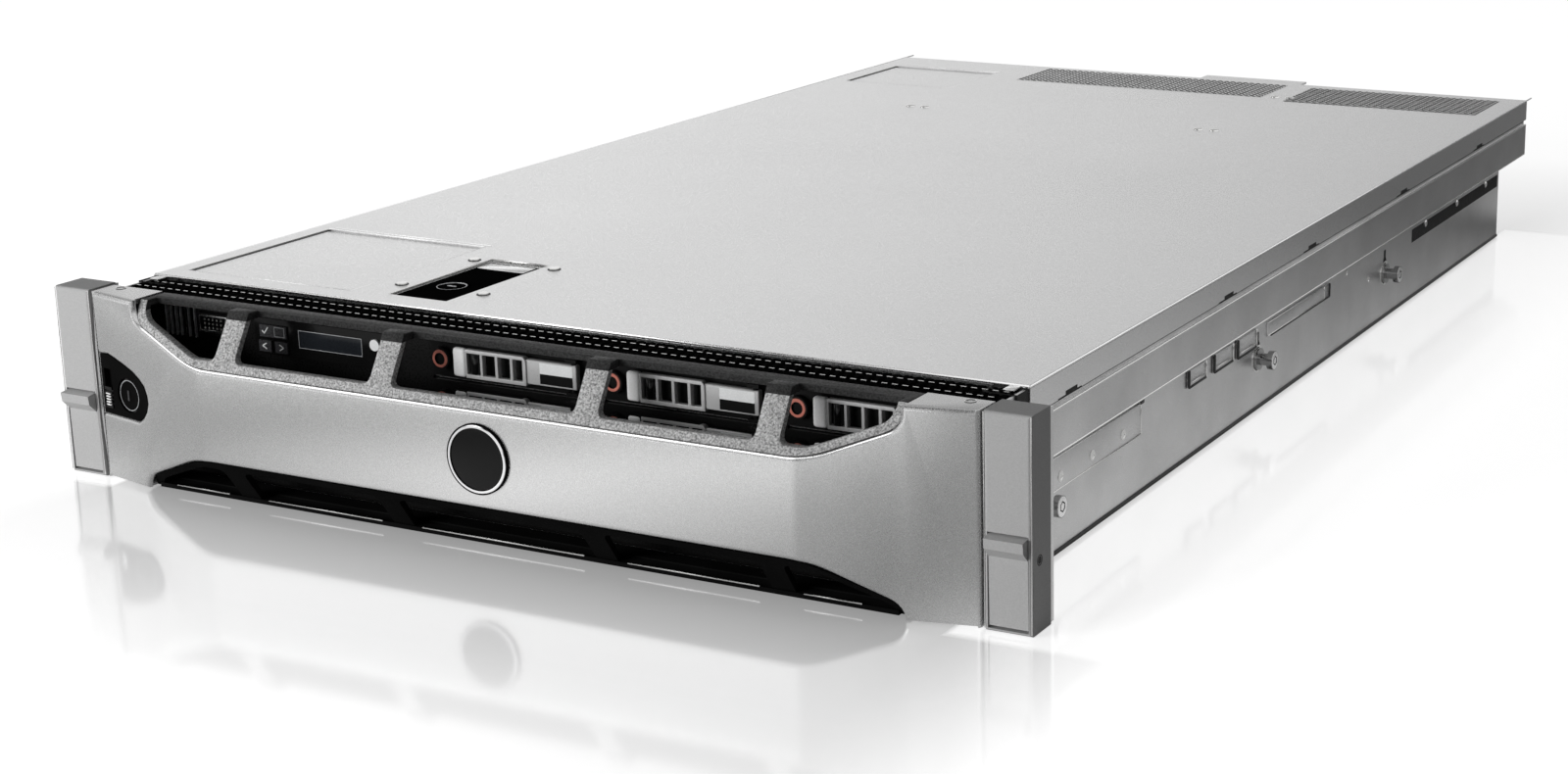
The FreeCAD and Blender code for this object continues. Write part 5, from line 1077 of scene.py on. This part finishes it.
class RACKSERVER_OT_carriers(bpy.types.Operator):
    """Model the handles, labels, lamps and release rings of the drive carriers"""

    bl_idname = "rack_server.carriers"
    bl_label = "Drive Carriers"

    def handle(self):
        """One handle on the middle line, in the upper row."""
        grip = sheet("grip", spot(-20.4, 14.35, 65.6), spot(10.4, 14.35, 77.9), "-Y")
        spans = ((-19.6, -12.8), (-11.6, -5.2), (-3.8, 2.4), (3.8, 8.6))
        open_windows(grip, "XZ", [((low / 1000, high / 1000), (0.0672, 0.0763))
                                  for low, high in spans])
        trim(thicken(grip, 0.0028), spot(9.2, 15, 77.9), (0.8, 0, 0.6))
        paint(soften(grip, 0.0003), "handle_grey")
        bar = soft_block("bar", spot(-27.1, 14.3, 65.5), spot(-20.6, 17.8, 77.95), 0.0014, 4)
        pivot = soften(disc("pivot", spot(-16.2, 16.6, 71.75), 0.0024, 0.0090, "Z", 24), 0.0003)
        tongue = block("tongue", spot(9.8, 15.2, 66.5), spot(35.1, 18.0, 76.9))
        step_faces(tongue, facing("Y", -1), (0.0005, (0, -0.0002, 0)))
        paint(soften(tongue, 0.0004), "handle_grey")
        label_split = 0.0716
        label = sheet("label", spot(17.0, 14.93, 67.3), spot(33.2, 14.93, 76.2), "-Y")
        slice_at(label, "Z", [label_split])
        recolour(paint(label, "button_white", "black_mould"), 1,
                 lambda centre, normal: centre.z < label_split)
        return join([grip, paint(bar, "handle_light"), paint(pivot, "black_gloss"), tongue,
                     thicken(label, 0.00015)], "handle")

    def ring(self):
        """One release button with its ring, on the middle line."""
        button = stepped_disc("ring", 0.0046, 0.0046, (
            (0.0007, 0), (0.0002, -0.0003), (0.0011, 0), (0.0002, 0.0009)), 36)
        recolour(paint(button, "black_mould", "terracotta"), 1, within_ring(0.0024, 0.004, 0.0001))
        return put(button, spot(-35, 16.4, 71.7))

    def lamps(self):
        """Two lamps above each other, on the middle line."""
        lamp = stepped_disc("lamp", 0.0009, 0.0004, ((0.0002, -0.0001), (0.0003, 0)), 16)
        put(lamp, spot(38.6, 18.9, 69))
        twin = moved_copy(lamp, (0, 0, 0.005), "lamp_twin")
        return paint(join([lamp, twin], "lamps"), "lamp_lens")

    def execute(self, context):
        patterns = handle, ring, lamps = self.handle(), self.ring(), self.lamps()
        for number, column in enumerate(DRIVE_COLUMNS, 1):
            for row, rise, front in DRIVE_ROWS:
                offset = Vector((column / 1000, front / 1000, rise / 1000))
                tail = "_%s_%d" % (row, number)
                body = "drive%s_body" % tail
                grip = moved_copy(handle, offset, "carrier_handle" + tail)
                press = moved_copy(ring, offset, "carrier_release" + tail)
                lens = moved_copy(lamps, offset, "carrier_lamps" + tail)
                for piece, slot, node in ((grip, "handle_grey", "drive_handle_%d" % number),
                                          (press, "terracotta", "drive_release_%d" % number)):
                    if row == "upper":
                        dress(piece, node + "_body", slot, node)
                    else:
                        dress(piece, body, slot)
                dress(lens, body, "button_dark")
        for pattern in patterns:
            remove(pattern)
        return {"FINISHED"}


class RACKSERVER_OT_panel(bpy.types.Operator):
    """Add the icons and rims of the display, the monitor socket, the fins and the lock's face"""

    bl_idname = "rack_server.panel"
    bl_label = "Front Panel"

    def display(self):
        check = [stroke((-135.6, 74.2), (-134.4, 72.9), 0.55),
                 stroke((-134.5, 72.9), (-132.2, 75.9), 0.55)]
        group(check, "select_icon", "button_white", "select_button_body", "button_white")
        key = rim_upright("select_key", (-128.6, -123.6), (72.2, 76.0), 14.12, 0.35, 0.1)
        dress(paint(key, "trim_grey"), "select_button_body", "button_dark")
        for name, tip, tail in (("left", -135.9, -133.6), ("right", -124.2, -126.5)):
            arrow = [stroke((tail, 68.6), (tip, 67.3), 0.5), stroke((tip, 67.3), (tail, 66.0), 0.5)]
            group(arrow, name + "_icon", "button_white", name + "_button_body", "button_white")
        glass = rim_upright("screen_rim", (-115.9, -81.9), (68.4, 75.8), 14.9, 0.28, 0.25)
        dress(paint(glass, "trim_grey"), "chassis", "black_plastic")

    def socket_and_fins(self):
        shell = rim_upright("monitor_shell", (-174.2, -159.8), (69.6, 75.4), 17.6, 0.9, 0.5)
        dress(paint(shell, "zinc"), "chassis", "bright_zinc")
        fins = [soft_block("fin", spot(x - 0.2, 18.6, 65), spot(x + 0.2, 20, 78.5), 0.0001, 1)
                for x in (-195, -192.2, -189.4, -186.6, -182, -178.4)]
        group(fins, "panel_fins", "trim_grey", "chassis", "black_steel")
        pins = [put(stepped_disc("pin", 0.00055, 0.0004, ((0.00015, 0), (0.0001, 0.0002)), 10),
                    spot(-171.6 + step * 2.3, 17.9, row))
                for row in (74.4, 72.5, 70.6) for step in range(5)]
        group(pins, "monitor_pins", "zinc", "chassis", "bright_zinc")

    def lock(self):
        out = Vector((math.sin(SLOPE), -math.cos(SLOPE), 0))
        face = stepped_disc("lock_face", 0.0070, 0.0004, (
            (0.0004, 0), (0.0005, -0.0002), (0.0014, 0.0004), (0.0016, 0), (0.0005, -0.0002)), 40)
        recolour(paint(face, "latch_black", "trim_grey"), 1, within_ring(0.0065, 0.0068, 0.0003))
        slit = soft_block("slit", (-0.0006, -0.0006, -0.0024), (0.0006, 0, 0.0024), 0.0002)
        face = join([face, paint(slit, "button_dark")], "lock_face")
        put(face, spot(-199.312, -4.109, 41.4) - out * 0.0012, FACE_SLOPE)
        dress(face, "lock_cylinder_body", "black_steel")

    def execute(self, context):
        self.display()
        self.socket_and_fins()
        self.lock()
        return {"FINISHED"}


class RACKSERVER_OT_rear(bpy.types.Operator):
    """Add the fan guards and lamps of the power supplies"""

    bl_idname = "rack_server.rear"
    bl_label = "Rear"

    def guard(self, at):
        """A dark well with wire rings and two crossed spokes before it."""
        wire, proud = 0.00045, at + Vector((0, 0.0006, 0))
        well = stepped_disc("well", 0.0158, 0.0003, ((0.0006, 0), (0.0003, 0.0001)), 40)
        parts = [paint(put(well, at + Vector((0, 0.0003, 0)), FACE_REAR), "deep_black")]
        for radius in (0.004, 0.0078, 0.0116, 0.0152):
            clear_selection()
            bpy.ops.mesh.primitive_torus_add(location=proud, rotation=(math.pi / 2, 0, 0),
                                             major_segments=40, minor_segments=6,
                                             major_radius=radius, minor_radius=wire)
            parts.append(paint(smooth(settle(bpy.context.object), 60), "zinc"))
        for turn in (math.pi / 4, -math.pi / 4):
            spoke = rod((-0.0156, 0, 0), (0.0156, 0, 0), wire)
            parts.append(paint(put(spoke, proud, (0, turn, 0)), "zinc"))
        return parts

    def execute(self, context):
        for number, middle in enumerate(SUPPLY_MIDDLES, 1):
            body = "psu_%d_body" % number
            guard = self.guard(spot(middle + 27, SUPPLY_BACK, 21.1))
            dress(join(guard, "fan_guard_%d" % number), body, "supply_case")
            lamp = stepped_disc("supply_lamp_%d" % number, 0.0016, 0.0005,
                                ((0.0003, -0.0002), (0.0005, 0)), 20)
            put(lamp, spot(middle - 0.5, SUPPLY_BACK + 0.3, 35.5), FACE_REAR)
            dress(paint(lamp, "lamp_lens"), body, "button_green")
        return {"FINISHED"}


class RACKSERVER_OT_stage(bpy.types.Operator):
    """Set the floor, the light and the camera"""

    bl_idname = "rack_server.stage"
    bl_label = "Stage"

    def mirror_share(self, net, axes, reach):
        """How well the floor mirrors: best close to the object, less beside it and further out."""
        half_wide, half_long, side_haste, strength = 0.208, 0.378, 2.6, 0.72
        away = net.add("CombineXYZ")
        past = {}
        for axis, half, haste in (("X", half_wide, side_haste), ("Y", half_long, 1.0)):
            past[axis] = net.most(net.sum("SUBTRACT", net.sum("ABSOLUTE", axes[axis]), half), 0.0)
            net.link(net.times(past[axis], haste), away.inputs[axis])
        far = net.add("VectorMath")
        far.operation = "LENGTH"
        net.link(away.outputs["Vector"], far.inputs[0])
        fade = net.span(far.outputs["Value"], strength, 0.0, 0.0, reach)
        flank = net.most(net.span(past["X"], 1.0, 0.5, 0.0, 0.003),
                         net.span(past["Y"], 0.0, 1.0, 0.0, 0.01))
        return net.times(fade, flank)

    def floor_glow(self, net, axes):
        """How bright the floor is in glossy faces: ahead of the object, beside it and behind it."""
        offset = net.sum("ABSOLUTE", net.sum("ADD", axes["X"], 0.03))
        width = net.sum("ABSOLUTE", axes["X"])
        ahead = net.times(net.span(offset, 1.0, 0.0, 0.0, 0.21),
                          net.span(axes["Y"], 1.0, 0.0, -0.44, -0.36))
        beside = net.times(net.span(width, 0.0, 1.0, 0.17, 0.22),
                           net.span(axes["Y"], 0.52, 0.04, -0.34, 0.42))
        beside = net.times(beside, net.span(axes["Y"], 0.2, 1.0, -0.42, -0.35))
        behind = net.times(net.span(width, 0.6, 0.0, 0.2, 0.3),
                           net.span(axes["Y"], 0.0, 1.0, 0.40, 0.46))
        return net.most(net.most(ahead, beside), behind)

    def floor(self, setup):
        """A white floor that mirrors the object close to it and less further out."""
        clear_selection()
        bpy.ops.mesh.primitive_plane_add(size=24, location=(0, 3, -0.0002))
        floor = settle(bpy.context.object)
        floor.name = "floor"
        material = bpy.data.materials.new("floor_gloss")
        net = Net(material)
        net.nodes.remove(net.nodes["Principled BSDF"])
        axes = net.axes("Object")
        path = net.add("LightPath").outputs
        whiteness = 0.92
        seen = net.times(path["Is Camera Ray"], whiteness)
        caught = net.times(path["Is Glossy Ray"], self.floor_glow(net, axes))
        lift = net.add("Emission")
        net.link(net.sum("ADD", seen, caught), lift.inputs["Strength"])
        matt = net.add("BsdfDiffuse", Color=(*colours().floor, 1))
        white = net.add("AddShader")
        net.link(matt.outputs["BSDF"], white.inputs[0])
        net.link(lift.outputs["Emission"], white.inputs[1])
        gloss = net.add("BsdfGlossy", Color=(0.97, 0.97, 0.97, 1), Roughness=0.09)
        both = net.add("MixShader")
        near = self.mirror_share(net, axes, setup.mirror)
        net.link(net.times(near, path["Is Camera Ray"]), both.inputs["Fac"])
        net.link(white.outputs["Shader"], both.inputs[1])
        net.link(gloss.outputs["BSDF"], both.inputs[2])
        net.link(both.outputs["Shader"], net.nodes["Material Output"].inputs["Surface"])
        floor.data.materials.append(material)

    def sky(self, scene, setup):
        """A white background whose reflection is bright low on the left and softer overhead."""
        scene.world = bpy.data.worlds.new("studio")
        net = Net(scene.world)
        sky = net.nodes["Background"].inputs
        sky["Color"].default_value = (1, 1, 1, 1)
        axes = net.axes("Generated")
        height = net.span(axes["Z"], 1.16, 0.05, 0.2, 0.62)
        side = net.sum("MINIMUM", net.span(axes["X"], 1.0, 0.10, -0.60, 0.16),
                       net.span(axes["X"], 0.72, 1.0, -0.92, -0.60))
        right = net.times(net.span(axes["X"], 0.0, 1.0, -0.1, 0.06),
                          net.span(axes["Z"], 0.0, 1.0, 0.12, 0.3))
        above = net.times(net.span(axes["Z"], 0.0, 0.6, 0.44, 0.7),
                          net.span(axes["Y"], 0.0, 1.0, 0.05, 0.25))
        glow = net.most(net.most(net.times(height, side), right), above)
        path = net.add("LightPath").outputs
        caught = net.times(path["Is Glossy Ray"], glow)
        soft = net.times(path["Is Diffuse Ray"], setup.ambient)
        seen = net.most(path["Is Camera Ray"], path["Is Transmission Ray"])
        net.link(net.most(seen, net.sum("ADD", caught, soft)), sky["Strength"])

    def lamps(self, scene, setup):
        """Two lamps for matt faces, and one with a narrow beam that only glossy edges show."""
        for name, at, aim, wide, tall, beam, watts in (
                ("key", (-1.05, -1.9, 0.45), (0, -0.35, 0.05), 1.3, 0.6, 180, setup.key),
                ("fill", (1.5, -1.9, 0.7), (0.1, -0.3, 0.05), 1.0, 0.7, 180, setup.fill),
                ("edge", (-1.15, -0.95, 1.45), (0, -0.4, 0.06), 1.5, 1.1, 48, setup.edge)):
            lamp = bpy.data.lights.new(name, "AREA")
            lamp.shape = "RECTANGLE"
            lamp.size = wide
            lamp.size_y = tall
            lamp.energy = watts
            lamp.spread = math.radians(beam)
            obj = bpy.data.objects.new(name, lamp)
            obj.location = at
            obj.rotation_euler = (Vector(at) - Vector(aim)).to_track_quat("Z", "Y").to_euler()
            obj.visible_glossy = name == "edge"
            obj.visible_diffuse = name != "edge"
            scene.collection.objects.link(obj)

    def camera(self, scene, setup):
        camera = bpy.data.cameras.new("camera")
        camera.lens = setup.lens
        camera.sensor_width = 36
        camera.sensor_fit = "HORIZONTAL"
        camera.shift_x = -0.1581
        camera.shift_y = -0.0454
        camera.clip_end = 100
        right = Vector((0.900867, 0.43407369, -0.00432292))
        down = Vector((0.10429349, -0.22609371, -0.96850632))
        ahead = Vector((-0.4213805, 0.87204453, -0.24895142))
        turn = Matrix((right, -down, -ahead)).transposed().to_4x4()
        obj = bpy.data.objects.new("camera", camera)
        obj.matrix_world = Matrix.Translation(setup.eye) @ turn
        scene.collection.objects.link(obj)
        scene.camera = obj

    def execute(self, context):
        scene = context.scene
        setup = scene.rack_server_stage
        self.floor(setup)
        self.sky(scene, setup)
        self.lamps(scene, setup)
        self.camera(scene, setup)
        scene.view_settings.view_transform = "Standard"
        return {"FINISHED"}


STEPS = [
    RACKSERVER_OT_finishes,
    RACKSERVER_OT_bezel,
    RACKSERVER_OT_vents,
    RACKSERVER_OT_cover,
    RACKSERVER_OT_sides,
    RACKSERVER_OT_carriers,
    RACKSERVER_OT_panel,
    RACKSERVER_OT_rear,
    RACKSERVER_OT_stage,
]


class RACKSERVER_PT_parts(bpy.types.Panel):
    """Shows the settings and the steps of the rack server"""

    bl_idname = "RACKSERVER_PT_parts"
    bl_label = "Rack Server"
    bl_space_type = "VIEW_3D"
    bl_region_type = "UI"
    bl_category = "Rack Server"

    def draw(self, context):
        for settings in (colours(), details(), context.scene.rack_server_stage):
            column = self.layout.column(align=True)
            for name in settings.__annotations__:
                column.prop(settings, name)
        for step in STEPS:
            self.layout.operator(step.bl_idname)


CLASSES = [RackServerColours, RackServerDetails, RackServerStage, *STEPS, RACKSERVER_PT_parts]


def register():
    for cls in CLASSES:
        bpy.utils.register_class(cls)
    scene = bpy.types.Scene
    scene.rack_server_colours = bpy.props.PointerProperty(type=RackServerColours)
    scene.rack_server_details = bpy.props.PointerProperty(type=RackServerDetails)
    scene.rack_server_stage = bpy.props.PointerProperty(type=RackServerStage)


def unregister():
    del bpy.types.Scene.rack_server_stage
    del bpy.types.Scene.rack_server_details
    del bpy.types.Scene.rack_server_colours
    for cls in reversed(CLASSES):
        bpy.utils.unregister_class(cls)


def main():
    register()
    for step in STEPS:
        family, name = step.bl_idname.split(".")
        getattr(getattr(bpy.ops, family), name)()
    clear_selection()


if __name__ == "__main__":
    main()
